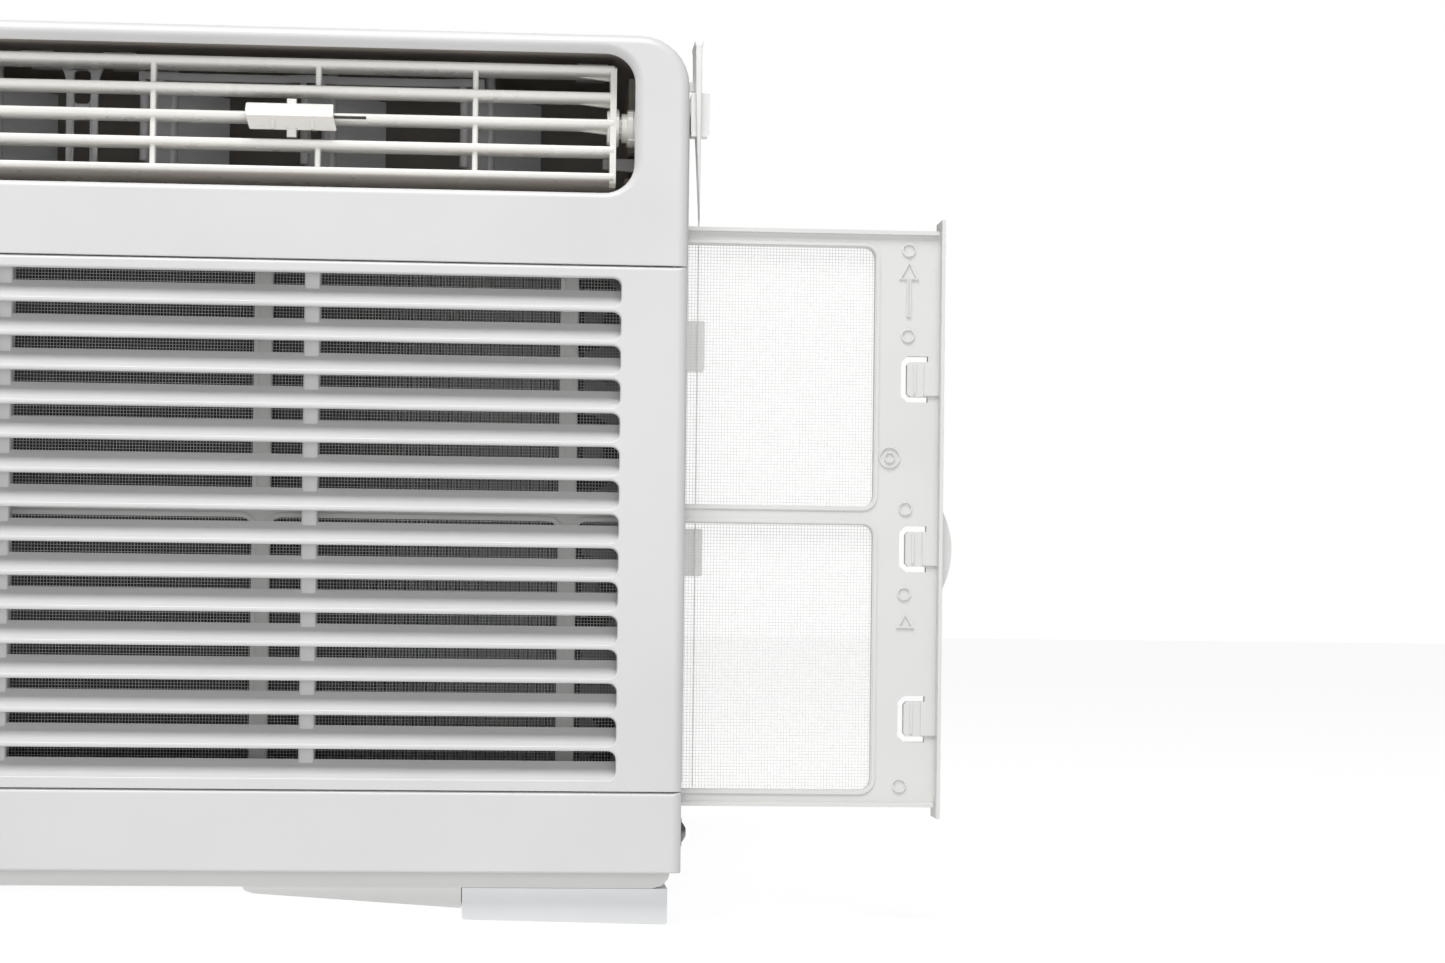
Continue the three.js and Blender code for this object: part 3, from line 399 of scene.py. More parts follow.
def metal(name, dark, light, roughness, metallic=1.0, scale=25.0, streak=1.0, grain=0.08):
    """Sheet or drawn metal: clouded tone, with streaks along x when streak is above 1."""
    material, tree, shader, coords = base_material(name)
    mapping = tree.nodes.new("ShaderNodeMapping")
    mapping.inputs["Scale"].default_value = (1.0, streak, streak)
    tree.links.new(coords, mapping.inputs["Vector"])
    stretched = mapping.outputs["Vector"]
    tint(tree, shader, noise(tree, stretched, scale, 5.0), dark, light)
    vary_roughness(tree, shader, noise(tree, stretched, scale * 3), roughness - 0.08, roughness + 0.08)
    shader.inputs["Metallic"].default_value = metallic
    bump(tree, shader, noise(tree, stretched, scale * 30), grain, 0.05)
    return material


def zinc(name):
    """Galvanised sheet with the faint crystals of its zinc."""
    material, tree, shader, coords = base_material(name)
    cells = tree.nodes.new("ShaderNodeTexVoronoi")
    cells.inputs["Scale"].default_value = 120.0
    tree.links.new(coords, cells.inputs["Vector"])
    crystal = cells.outputs["Color"]
    tint(tree, shader, crystal, "A5A8AA", "C4C7C9", 0.2, 0.8)
    vary_roughness(tree, shader, crystal, 0.34, 0.5, 0.2, 0.8)
    shader.inputs["Metallic"].default_value = 0.85
    bump(tree, shader, noise(tree, coords, 300.0), 0.05, 0.05)
    return material


def powder_coat(name, dark, light, roughness):
    """Textured paint on steel."""
    material, tree, shader, coords = base_material(name)
    tint(tree, shader, noise(tree, coords, 30.0), dark, light)
    shader.inputs["Roughness"].default_value = roughness
    bump(tree, shader, noise(tree, coords, 900.0, 4.0), 0.25, 0.12)
    return material


def woven(name, dark, light):
    """Nylon net thread: soft, with a faint sheen."""
    material, tree, shader, coords = base_material(name)
    tint(tree, shader, noise(tree, coords, 400.0), dark, light)
    shader.inputs["Roughness"].default_value = 0.6
    shader.inputs["Sheen Weight"].default_value = 0.2
    bump(tree, shader, noise(tree, coords, 4000.0), 0.2, 0.03)
    return material


def board(name):
    """Green circuit board with a faint pattern of tracks."""
    material, tree, shader, coords = base_material(name)
    cells = tree.nodes.new("ShaderNodeTexVoronoi")
    cells.distance = "CHEBYCHEV"
    cells.inputs["Scale"].default_value = 160.0
    tree.links.new(coords, cells.inputs["Vector"])
    tint(tree, shader, cells.outputs["Distance"], "1F4A2A", "3A7247", 0.25, 0.5)
    shader.inputs["Roughness"].default_value = 0.4
    bump(tree, shader, cells.outputs["Distance"], 0.3, 0.1)
    return material


PANEL = moulded("panel_plastic", "C9C9C9", "CECECE", 0.4)
BUTTON = moulded("button_plastic", "C6C7C8", "CECFD0", 0.36, coat=0.1)
LOUVER = moulded("louver_plastic", "E5E3DE", "EAE8E4", 0.3, coat=0.15)
# Vanes and centre bracket: their plastic is white, and this mid grey is partly painted shade from inside the
# outlet.
VANE = moulded("vane_plastic", "BBBCBE", "C4C5C7", 0.42)
TRIM = moulded("trim_plastic", "C8C8C8", "D2D2D2", 0.5)
DARK = moulded("duct_plastic", "8B847D", "958E87", 0.55)
FANS = moulded("fan_plastic", "5F6163", "6D6F71", 0.5)
FILTER_BODY = moulded("filter_plastic", "CECECC", "D4D4D2", 0.42)
NET = woven("filter_net", "D2D2D0", "DCDCDA")
GLASS = moulded("display_glass", "101315", "171B1E", 0.12, grain=0.01, coat=0.6)
BOARD = board("circuit_board")
ZINC = zinc("galvanised_steel")
FINS = metal("aluminium_fins", "A8ABAC", "C6C9CA", 0.42)
CAN = metal("capacitor_can", "B4B7B8", "CED1D2", 0.3, streak=6.0)
PAINT = powder_coat("painted_steel", "DADAD8", "DDDDDB", 0.48)
VINYL = moulded("curtain_vinyl", "E6E6E2", "EEEEEB", 0.55, grain=0.35, grain_scale=500.0)
CURTAIN = moulded("curtain_frame_plastic", "DEDEDC", "E6E6E4", 0.4)
BLACK = powder_coat("black_paint", "1D1E1F", "282A2B", 0.35)
RUBBER = moulded("rubber_black", "232323", "303030", 0.75, grain=0.2, grain_scale=900.0)
FOOT = moulded("foot_plastic", "DEE0E2", "E4E6E8", 0.45)
COPPER = metal("copper_tube", "8A5233", "A96B46", 0.34)
SCREW = metal("screw_steel", "6E6E6C", "8A8A88", 0.35)
# Evaporator behind the grille: its tubes are near black as painted shade, for the dark inside seen through
# the slots. Its fins are near black as painted shade too, with a faint green tint for their coating.
TUBE_PAINTED_SHADE = metal("tube_painted_shade", "2A2724", "38332E", 0.5, metallic=0.4)
COATED_FINS_PAINTED_SHADE = metal("coated_fins_painted_shade", "1C2421", "2A332F", 0.6, metallic=0.1)


# ---- panel

def round_inset(d, radius):
    """How far a rounded edge still lies inside the full size at a depth behind the front face."""
    return radius - math.sqrt(radius ** 2 - (radius - d) ** 2) if d < radius else 0.0


def shell_ring(inset, d, z0, z1, top_corner, low_round, high_round):
    """One ring of the panel's outside. Sides and arched top close in, cuts only round their edge."""
    radius = max(top_corner - inset, 0.3) if top_corner else 0.3
    top = z1 - inset if top_corner else z1 - round_inset(d, high_round)
    low = z0 + round_inset(d, low_round)
    half = PANEL_HALF - inset
    return [point(x, d, z) for x, z in round_rect(-half, half, low, top, (0.3, 0.3, radius, radius), 8)]


def shell_outside(name, z0, z1, top_corner, low_round, high_round=0.0):
    """Solid block with the panel's outside: rounded front edges and sides that open out by a millimetre."""
    steps = 9
    edges = (z0, z1, top_corner, low_round, high_round)
    rings = []
    for i in range(steps + 1):
        a = math.pi / 2 * i / steps
        rings.append(shell_ring(PANEL_EDGE * (1 - math.sin(a)), PANEL_EDGE * (1 - math.cos(a)), *edges))
    rings.append(shell_ring(-1.0, PANEL_DEPTH, *edges))
    bm = bmesh.new()
    add_loft(bm, rings)
    return new_object(name, bm)


def hollow_cutter(z0, z1, top_corner=0):
    """What the panel's wall leaves hollow, widening to the rear like the outside."""
    bm = bmesh.new()
    radius = max(top_corner - PANEL_WALL, 0.3)
    half = PANEL_HALF - PANEL_WALL
    rings = []
    for d, grow in ((PANEL_WALL + 0.5, 0.0), (PANEL_DEPTH + 2, 1.0)):
        top = z1 + (grow if top_corner else 0)
        outline = round_rect(-half - grow, half + grow, z0, top, (0.3, 0.3, radius, radius), 8)
        rings.append([point(x, d, z) for x, z in outline])
    add_loft(bm, rings)
    return new_object("cutter", bm)


def outlet_cutter(depth):
    """Outlet opening: a flat chamfer above and beside it, a full round along its lower edge."""
    x0, x1, z0, z1 = OUTLET
    chamfer, roll = 3.7, 2.6
    rings = [(chamfer + 0.8, roll + 0.8, -0.8), (chamfer, roll, 0.0)]
    for i in range(1, 7):
        t = i / 6
        a = math.pi / 2 * t
        rings.append((chamfer * (1 - t) ** 1.15, roll * (1 - math.sin(a)), roll * (1 - math.cos(a))))
    rings.append((0.0, 0.0, depth))
    bm = bmesh.new()
    add_loft(bm, [[point(x, d, z) for x, z in
                   round_rect(x0 - up, x1 + up, z0 - low, z1 + up, OUTLET_CORNER + up, 10)]
                  for up, low, d in rings])
    return new_object("cutter", bm)


def box_cutter(*sizes):
    bm = bmesh.new()
    add_box(bm, *sizes)
    return new_object("cutter", bm)


def filter_slot_cutter(z0, z1, far=FILTER_SLOT[1]):
    """Slot through the right-hand wall for the filter."""
    return box_cutter(225, 240, FILTER_SLOT[0], far, z0, z1)


def upper_fascia():
    """Front shell round the outlet, with the leg behind the filter slot and the guide above the filter."""
    z0 = SEAM_UPPER + SEAM_GAP / 2
    obj = shell_outside("upper_fascia_skin", z0, PANEL_TOP, PANEL_CORNER, 0.3)
    cut(obj, [hollow_cutter(z0 - 5, PANEL_TOP - PANEL_WALL, PANEL_CORNER), outlet_cutter(8.0),
              filter_slot_cutter(240, 269.9)])
    shade(obj, rounded=True)
    finish(obj, PANEL, "root", "upper_fascia")
    bm = bmesh.new()
    add_box(bm, 232.6, 235.6, FILTER_SLOT[1], PANEL_DEPTH, SEAM_LOWER + 0.3, z0 + 1)
    add_box(bm, -150, 232, 3, 27, 270.1, 271.8)
    piece(bm, "upper_fascia_leg", PANEL, "root", slot="panel_plastic", bevel=0.3)


def slot_span(index):
    top = SLOT_TOP - index * SLOT_PITCH
    return top - SLOT_HEIGHT, top


def add_slot(bm, index):
    """One grille slot with a rolled front edge, to be cut out."""
    z0, z1 = slot_span(index)
    roll = 0.75
    steps = 4
    rings = [(roll + 0.8, -0.8)]
    for i in range(steps + 1):
        a = math.pi / 2 * i / steps
        rings.append((roll * (1 - math.sin(a)), roll * (1 - math.cos(a))))
    rings.append((-0.15, PANEL_WALL + 2))
    add_loft(bm, [[point(x, d, z) for x, z in
                   round_rect(SLOT_LEFT - grow, SLOT_RIGHT + grow, z0 - grow, z1 + grow, 3.2 + grow, 5)]
                  for grow, d in rings])


def slat_section(index):
    """Section of the blade behind a slot: level at the front lip, then curving up to its rear edge."""
    z0 = slot_span(index)[0]
    upper = []
    steps = 9
    for i in range(steps + 1):
        t = i / steps
        d = 0.9 + (SLAT_DEPTH - 0.9) * t
        z = z0 - 0.1 + SLAT_RISE * (0.55 * t + 0.45 * t ** 2.2)
        upper.append((d, z))
    lower = [(d, z - 1.5 + 0.5 * i / steps) for i, (d, z) in enumerate(upper)]
    lower[0] = (1.6, z0 - 1.6)
    return upper + lower[::-1]


def intake_grille():
    """Slotted front shell, the slats behind its slots and the ribs across them."""
    z0, z1 = SEAM_LOWER + SEAM_GAP / 2, SEAM_UPPER - SEAM_GAP / 2
    obj = shell_outside("intake_grille_skin", z0, z1, 0, 0.2, 1.7)
    slots = bmesh.new()
    for index in range(SLOT_COUNT):
        add_slot(slots, index)
    x0, x1, c0, c1 = CONTROL
    cut(obj, [hollow_cutter(z0 - 5, z1 + 5), filter_slot_cutter(0, 300, PANEL_DEPTH + 3),
              box_cutter(x0, x1, -5, 5, c0, c1), new_object("cutter", slots)])
    shade(obj, rounded=True)
    finish(obj, PANEL, "root", "intake_grille")

    bm = bmesh.new()
    for index in range(SLOT_COUNT):
        add_prism(bm, slat_section(index), SLOT_LEFT - 2, SLOT_RIGHT + 2, axis="x")
    for x in RIB_X:
        outline = round_rect(x - RIB_WIDTH / 2, x + RIB_WIDTH / 2, 7.0, 14.0, (1.0, 1.0, 0.2, 0.2), 3)
        add_prism(bm, outline, 57, SEAM_UPPER - 1, axis="z")
    for x, side in ((SLOT_LEFT, -1), (SLOT_RIGHT, 1)):
        add_box(bm, *sorted((x + side * 0.2, x + side * 2)), 2, SLAT_DEPTH + 1, 54, SEAM_UPPER - 1)
    piece(bm, "intake_grille_slats", PANEL, "root", slot="panel_plastic", angle=30)


def lower_fascia():
    """Plain strip below the grille and the guide under the filter."""
    z1 = SEAM_LOWER - SEAM_GAP / 2
    obj = shell_outside("lower_fascia_skin", PANEL_BOTTOM, z1, 0, 0.8, 1.7)
    cut(obj, [hollow_cutter(PANEL_BOTTOM - 5, z1 + 5), filter_slot_cutter(44.5, 60)])
    shade(obj, rounded=True)
    finish(obj, PANEL, "root", "lower_fascia")
    bm = bmesh.new()
    add_box(bm, -150, 232, 3, 27, 42.6, 44.3)
    piece(bm, "lower_fascia_guide", PANEL, "root", slot="panel_plastic", bevel=0.3)


# ---- outlet

def outlet_duct():
    """Open duct with a step in each side wall and a bored seat under each vane."""
    x0, x1, z0, z1 = DUCT
    wall = 1.5
    near, far = 3.3, 130.0
    bm = bmesh.new()
    outer = round_rect(x0, x1, z0, z1, (4, 4, 14, 14), 6)
    inner = round_rect(x0 + wall, x1 - wall, z0 + wall, z1 - wall, (2.5, 2.5, 12.5, 12.5), 6)
    add_prism(bm, outer, near, far, holes=[inner])
    add_box(bm, x0 + 2, x1 - 2, far - 1.5, far, z0 + 1, z1 - 1)
    bore = 2.3
    seat = [(bore, 0), (6.5, 0), (6.2, 0.6), (3.4, 1.0), (3.2, 2.4), (3.0, 2.6), (bore, 2.6), (bore, 0)]
    for side in (-1, 1):
        for x in VANE_X:
            add_lathe(bm, seat, (side * x, VANE_DEEP, z0 + wall), "z", 24, capped=False)
        add_box(bm, *span(side, 211.4, 217.6), 30, 60, 278.0, 289.0)
        add_box(bm, *span(side, 212.6, 217.6), 27, 60, 298.6, 327.6)
    piece(bm, "outlet_duct_body", DARK, "root", "outlet_duct", weld=False, bevel=0.3)


def duct_trim():
    """Pale blocks that hang from the duct's ceiling, a lever at each end and two small posts."""
    bm = bmesh.new()
    for x0, x1 in ((9.5, 22.0), (192.5, 204.5)):
        for side in (-1, 1):
            add_box(bm, *span(side, x0, x1), 30, 60, 331.3, 333.7)
    for side in (-1, 1):
        add_box(bm, side * 62 - 2.2, side * 62 + 2.2, 64, 68, 277.2, 284.5)
        add_loft(bm, [[point(side * x, d, z) for d, z in ((35, low), (37.6, low), (37.6, high), (35, high))]
                      for x, low, high in ((203.0, 293.1, 297.2), (217.4, 292.1, 297.8))])
    piece(bm, "outlet_duct_trim", TRIM, "root", slot="vane_plastic", weld=False, bevel=0.4)


def blade_section(index):
    """Louver blade: full round front, and a top and underside that slope towards a thinner rear edge."""
    top = BLADE_TOP - index * BLADE_PITCH
    low = top - BLADE_HEIGHT
    outermost = index in (0, 4)
    rear = 28.0 if outermost else 24.0
    drop = 2.0 if index == 4 else 0.0
    nose = arc(13.3, (top + low) / 2 + 0.2, 1.3, 270, 90, 8)
    nose = [(d, z + (0.25 if z > (top + low) / 2 else -0.25)) for d, z in nose]
    section = [(14.5, low)] + nose[1:-1] + [(14.5, top)]
    edge = ((0.3, top - 0.9), (0.0, top - 1.3), (0.0, low + 0.5), (0.3, low + 0.1))
    return section + [(rear - back, z - drop) for back, z in edge]


def cut_section(section, level, above):
    """The part of a (depth, height) outline that lies above or below a level."""
    kept = []
    for (d0, z0), (d1, z1) in zip(section, section[1:] + section[:1]):
        inside0 = (z0 >= level) == above
        inside1 = (z1 >= level) == above
        if inside0:
            kept.append((d0, z0))
        if inside0 != inside1:
            kept.append((d0 + (d1 - d0) * (level - z0) / (z1 - z0), level))
    return kept


def louver_blades(bm):
    """Five blades. The middle one is slotted lengthwise where the slider tabs' arms run through it."""
    for index in range(5):
        section = blade_section(index)
        if index != MIDDLE_BLADE:
            add_prism(bm, section, -LOUVER_HALF + 1, LOUVER_HALF - 1, axis="x")
            continue
        inner, outer = TAB_SLOT
        for x0, x1 in ((-LOUVER_HALF + 1, -outer), (-inner, inner), (outer, LOUVER_HALF - 1)):
            add_prism(bm, section, x0, x1, axis="x")
        for above, level in ((True, MIDDLE_HEIGHT + 0.6), (False, MIDDLE_HEIGHT - 0.6)):
            for side in (-1, 1):
                add_prism(bm, cut_section(section, level, above), *span(side, inner, outer), axis="x")


def louver_frame():
    """Blades, the bars between them, both end plates and the small gussets behind three blades."""
    bm = bmesh.new()
    louver_blades(bm)
    plate = [(12.3, 287.2), (13.0, 284.6), (15.0, 283.2), (28.0, 283.2), (28.0, 328.4), (13.4, 329.6),
             (12.3, 328.8)]
    for side in (-1, 1):
        for x in BAR_X:
            outline = round_rect(side * x - 1.1, side * x + 1.1, 13.4, 18.0, (0.9, 0.9, 0.2, 0.2), 4)
            # the bar in the slider's way joins only the upper two and the lower two blades
            for first, last in ((0, 1), (3, 4)) if x == BAR_X[1] else ((0, 4),):
                low = BLADE_TOP - last * BLADE_PITCH - 2
                add_prism(bm, outline, low, BLADE_TOP - first * BLADE_PITCH - 1, axis="z")
        add_prism(bm, plate, *span(side, LOUVER_HALF - 2.4, LOUVER_HALF), axis="x")
        for index in range(3):
            top = BLADE_TOP - index * BLADE_PITCH - BLADE_HEIGHT + 0.4
            near, far = 20.5, 22.5
            add_loft(bm, [[point(side * (LOUVER_HALF - back), d, z) for d, z in
                           ((near, top), (far, top), (far, top - height), (near, top - height))]
                          for back, height in ((15, 0.3), (1, 1.9))])
    piece(bm, "louver_frame_body", LOUVER, "louver", "louver_frame", weld=False, angle=30, bevel=0.35)
    louver_hubs()


def louver_hubs():
    """Stepped hub at each end of the louver, with ten small ribs round its pin."""
    profile = [(0.1, -3.4), (6.4, -3.4), (6.7, -3.1), (6.7, -1.5), (7.4, -1.5), (7.4, 0.9), (7.1, 1.2),
               (4.4, 1.2), (4.0, 1.6), (4.0, 6.6), (3.6, 7.0), (0.1, 7.0)]
    d, z = LOUVER_AXIS
    ribs = 10
    bm = bmesh.new()
    for side in (-1, 1):
        add_lathe(bm, [(r, side * a) for r, a in profile], (side * LOUVER_HALF, d, z), "x", 40)
        for k in range(ribs):
            a = 2 * math.pi * k / ribs
            place = (d + 3.9 * math.cos(a), z + 3.9 * math.sin(a))
            add_rod(bm, 0.45, *span(side, LOUVER_HALF + 1, LOUVER_HALF + 2.6), *place, "x", 8)
    piece(bm, "louver_frame_hubs", LOUVER, "louver", slot="louver_plastic", weld=False, angle=30)


def louver_bush(side, label):
    """Bored bush with a neck and four ribs round its rim."""
    d, z = LOUVER_AXIS
    x0 = LOUVER_HALF + 1.9
    bm = bmesh.new()
    bore = 4.6
    profile = [(bore, 0.2), (5.4, 0.2), (5.7, 0.6), (5.7, 2.4), (6.8, 2.4), (7.3, 2.8), (7.5, 4.6),
               (7.2, 4.8), (7.2, 5.2), (7.6, 5.4), (7.7, 7.6), (7.4, 8.0), (bore, 8.0), (bore, 0.2)]
    add_lathe(bm, [(r, side * a) for r, a in profile], (side * x0, d, z), "x", 40, capped=False)
    for k in range(4):
        a = math.pi / 4 + math.pi / 2 * k
        place = (d + 7.4 * math.cos(a), z + 7.4 * math.sin(a))
        add_rod(bm, 0.5, *span(side, x0 + 3, x0 + 7.8), *place, "x", 8)
    piece(bm, f"louver_bush_{label}_body", LOUVER, "root", f"louver_bush_{label}", weld=False, angle=30)


def slider_grip(bm, centre):
    """Grip with a rounded upper lip, and below its crease a scooped face that leans sideways."""
    lean = 0.25
    crease = 307.0
    section = [(11.6, 309.0), (11.6, 311.9), (10.6, 312.2), (9.4, 312.0), (8.4, 311.4), (7.4, 310.2),
               (6.6, 308.8), (6.1, 307.3), (6.0, 306.7), (6.4, 306.3), (7.4, 306.0), (8.8, 304.6),
               (10.2, 303.2), (11.2, 302.3), (11.6, 302.2), (11.6, 303.2), (10.6, 304.8), (10.0, 307.0),
               (10.2, 309.0)]
    rings = []
    for end, shrink in ((-16.6, 0.35), (-16.2, 0.0), (16.2, 0.0), (16.6, 0.35)):
        rings.append([point(centre + end + lean * max(crease - z, 0.0), d + shrink * 0.5,
                            z - (shrink if z > crease else -shrink)) for d, z in section])
    add_loft(bm, rings, capped=False)
    for ring in (rings[0], rings[-1]):
        verts = [bm.verts.new(p) for p in ring]
        for tri in tessellate_polygon([[Vector((p.y, p.z, 0)) for p in ring]]):
            bm.faces.new([verts[i] for i in tri])


def slider_tab(side, label):
    """Finger grip on the louver, its post, and the arm whose fork takes the middle vane."""
    arm = TAB_ARM[side]
    bm = bmesh.new()
    slider_grip(bm, TAB_CENTRE[side])
    # two moulded blocks in the scoop, and the post in front of, below and above the blade
    block = [(11.4, 302.4), (9.6, 302.5), (7.6, 304.9), (7.6, 305.9), (11.4, 306.5)]
    add_prism(bm, block, arm - 10.6, arm - 9.4, axis="x")
    add_prism(bm, block, arm + 4.4, arm + 5.6, axis="x")
    for near, far, low, high in ((10.0, 11.6, 302.6, 313.9), (11.4, 15.6, 299.6, 305.4),
                                 (11.4, 13.8, 309.8, 313.9)):
        add_prism(bm, round_rect(arm - 4.9, arm - 1.2, near, far, 0.4, 3), low, high, axis="z")
    # arm through the blade's slot, crosspiece and the two tines of the fork
    for x0, x1, near, far in ((-3, 3, 11, 34), (-4.6, 4.6, 33.2, 35), (-4.6, -2.6, 34, 45.5),
                              (2.6, 4.6, 34, 45.5)):
        add_box(bm, arm + x0, arm + x1, near, far, MIDDLE_HEIGHT - 0.5, MIDDLE_HEIGHT + 0.5)
    piece(bm, f"slider_tab_{label}_body", LOUVER, f"tab_{label}", f"slider_tab_{label}",
          angle=35, bevel=0.25)


def vane(side, label, index):
    """One directing vane, turned sideways, with its front bead, rounded lower corners and pins."""
    x = side * VANE_X[index]
    turn = -math.radians(VANE_REST)
    low, high = VANE_BOTTOM, VANE_TOP
    corner = 5.0

    def place(v, z, u):
        """v is along the vane and u across it, from the pivot."""
        across = x + u * math.cos(turn) - v * math.sin(turn)
        return point(across, VANE_DEEP + u * math.sin(turn) + v * math.cos(turn), z)

    outline = arc(-VANE_LEAD + corner, low + corner, corner, 180, 270, 6)
    outline += arc(VANE_TRAIL - corner, low + corner, corner, 270, 360, 6)
    outline += [(VANE_TRAIL, high), (-VANE_LEAD, high)]
    # the middle vane has a window, which the tab's fork reaches into
    hole = round_rect(-VANE_LEAD + 2.2, -4.6, low + 9.6, low + 25.4, 1.6, 3)
    bm = bmesh.new()
    add_prism(bm, outline, -1.0, 1.0, holes=[hole] if index == 1 else (), place=place)

    def column(v, radius, z0, z1, sides=16):
        """Round upright with chamfered ends, at a place along the vane."""
        angles = [2 * math.pi * k / sides for k in range(sides)]
        tip = radius * 0.8
        add_loft(bm, [[place(v + r * math.sin(a), z, r * math.cos(a)) for a in angles]
                      for z, r in ((z0, tip), (z0 + 0.4, radius), (z1 - 0.4, radius), (z1, tip))])

    # front bead, pivot and crank pin
    column(-VANE_LEAD, 1.8, low + corner - 1.5, high)
    column(0, 2.0, DUCT[2] + 2.3, DUCT[3] - 2.0)
    column(-VANE_CRANK, 1.2, high - 1, high + 5.2)
    name = f"vane_{label}_{index + 1}"
    piece(bm, f"{name}_body", VANE, name, name, weld=False, angle=35, bevel=0.25)


def vane_link(side, label):
    """Bar over the vanes with a hooked eye round each crank pin."""
    pins = sorted(side * x - VANE_CRANK * math.sin(math.radians(VANE_REST)) for x in VANE_X)
    z0 = VANE_TOP + 1.6
    near, far = 38.8, 48.1
    bm = bmesh.new()
    outline = []
    steps = 60
    start, end = pins[0] - 4.8, pins[2] + 4.8
    for i in range(steps + 1):
        x = start + (end - start) * i / steps
        close = min(abs(x - pin) for pin in pins)
        outline.append((x, near + (0.0 if close < 5 else min((close - 5) * 0.35, 2.2))))
    outline += [(end, far), (start, far)]
    holes = [round_rect(pin - 1.7, pin + 1.7, near + 1.3, far - 1.3, 1.6, 4) for pin in pins]
    add_prism(bm, outline, z0, z0 + 3, holes=holes, axis="z")
    for pin in pins:
        for reach in (-3.6, 3.6):
            add_rod(bm, 1.5, z0 - 1.3, z0 + 0.5, pin + reach, near + 1.8, "z", 14)
    piece(bm, f"vane_link_{label}_body", VANE, f"link_{label}", f"vane_link_{label}",
          weld=False, angle=35, bevel=0.3)


def centre_bracket():
    """Upright with three windows that widens at its top, between the two sets of vanes."""
    left, right = -5.5, 6.9
    z0, z1 = DUCT[2] + 1.8, DUCT[3] - 1.8
    flare = [(0.0, 322.5), (0.5, 325), (1.6, 328), (3, z1)]
    outline = [(left, z0), (right, z0)] + [(right + out, z) for out, z in flare]
    outline += [(left - out, z) for out, z in reversed(flare)]
    windows = [round_rect(left + 3.1, right - 3.1, low, high, 1.6, 4)
               for low, high in ((282.5, 298.4), (301.6, 311.6), (314.6, 327.5))]
    bm = bmesh.new()
    add_prism(bm, outline, 36.6, 39, holes=windows)
    piece(bm, "centre_bracket_body", VANE, "root", "centre_bracket", angle=40, bevel=0.5)


# ---- filter

def snap_cuts():
    """U-shaped cut round each snap tongue at the filter's outer end."""
    outer = [(330.4, 9.0), (322.4, 9.0), (319.8, 6.6)]
    inner = [(330.4, 6.8), (323.4, 6.8), (322.2, 5.6)]
    outline = outer + [(x, -h) for x, h in reversed(outer)] + [(x, -h) for x, h in inner] + inner[::-1]
    return [[(x, z + h) for x, h in reversed(outline)] for z in CLIP_Z]


def filter_frame():
    near, far = FILTER_DEEP, FILTER_DEEP + FILTER_THICK
    x0, x1, z0, z1 = FILTER
    windows = [round_rect(a, b, c, d, 4.2, 5) for a, b in FILTER_COLUMNS for c, d in FILTER_ROWS]
    bm = bmesh.new()
    add_prism(bm, round_rect(x0, x1, z0, z1, (4, 0.5, 0.5, 4), 4), near, far, holes=windows + snap_cuts())
    piece(bm, "filter_frame_body", FILTER_BODY, "filter", "filter_frame", angle=40, bevel=0.6, segments=3)

    bm = bmesh.new()
    # end flange with its rounded finger grip
    add_prism(bm, round_rect(334.6, 336.0, z0 - 4.3, z1 + 4.2, 0.5, 3), near - 6, far + 6)
    grip = [(335.0, 127.6), (335.1, 127.6)]
    for i in range(1, 16):
        t = -1 + 2 * i / 16
        grip.append((335.1 + 5.0 * math.cos(math.pi / 2 * t) ** 0.8, 145 + 17.4 * t))
    grip += [(335.1, 162.4), (335.0, 162.4)]
    add_prism(bm, grip, near - 2, far + 2)
    # raised lip round each window
    for a, b in FILTER_COLUMNS:
        for c, d in FILTER_ROWS:
            outer = round_rect(a - 1.7, b + 1.7, c - 1.7, d + 1.7, 5.9, 5)
            inner = round_rect(a - 0.5, b + 0.5, c - 0.5, d + 0.5, 4.7, 5)
            add_prism(bm, outer, near - 0.5, near + 0.2, holes=[inner])
    # tongues in the snap cuts
    for z in CLIP_Z:
        add_box(bm, 324.6, 325.6, near - 0.5, near + 0.2, z - 5.6, z + 5.6)
        add_box(bm, 328.8, 334.6, near - 0.9, near + 0.3, z - 6.4, z + 6.4)
    for outline, inset in moulded_marks():
        add_prism(bm, outline, near - 0.6, near + 0.2, holes=[inset])
    # stiffening edge at the top and the bottom
    for low in (z1 - 1.6, z0):
        add_prism(bm, round_rect(x0 + 2, x1 - 1, low, low + 1.6, 0.3, 2), near - 1.6, near + 1)
    piece(bm, "filter_frame_details", FILTER_BODY, "filter", slot="filter_plastic",
          weld=False, angle=35, bevel=0.2)


def moulded_marks():
    """Outline and inset of each raised mark: an arrow that points up, a plain triangle and ejector rings."""
    middle = 322.5
    arrow = [(-0.9, 236.0), (0.9, 236.0), (0.9, 250.5), (3.9, 250.5), (0, 257.8), (-3.9, 250.5),
             (-0.9, 250.5)]
    inset = [(-0.4, 236.5), (0.4, 236.5), (0.4, 251.0), (2.9, 251.0), (0, 256.6), (-2.9, 251.0),
             (-0.4, 251.0)]
    marks = [[[(middle + x, z) for x, z in outline] for outline in (arrow, inset)],
             [[(318.9, 114.6), (326.0, 114.6), (322.4, 120.8)],
              [(320.1, 115.3), (324.8, 115.3), (322.4, 119.4)]]]
    rings = ((322.4, 262.0, 2.7), (322.3, 228.6, 2.7), (322.0, 161.2, 2.7), (321.8, 128.0, 2.7),
             (320.6, 53.4, 2.8), (315.6, 181.0, 4.2), (315.6, 181.0, 2.2))
    return marks + [(circle(x, z, radius, 28), circle(x, z, radius - 0.55, 28)) for x, z, radius in rings]


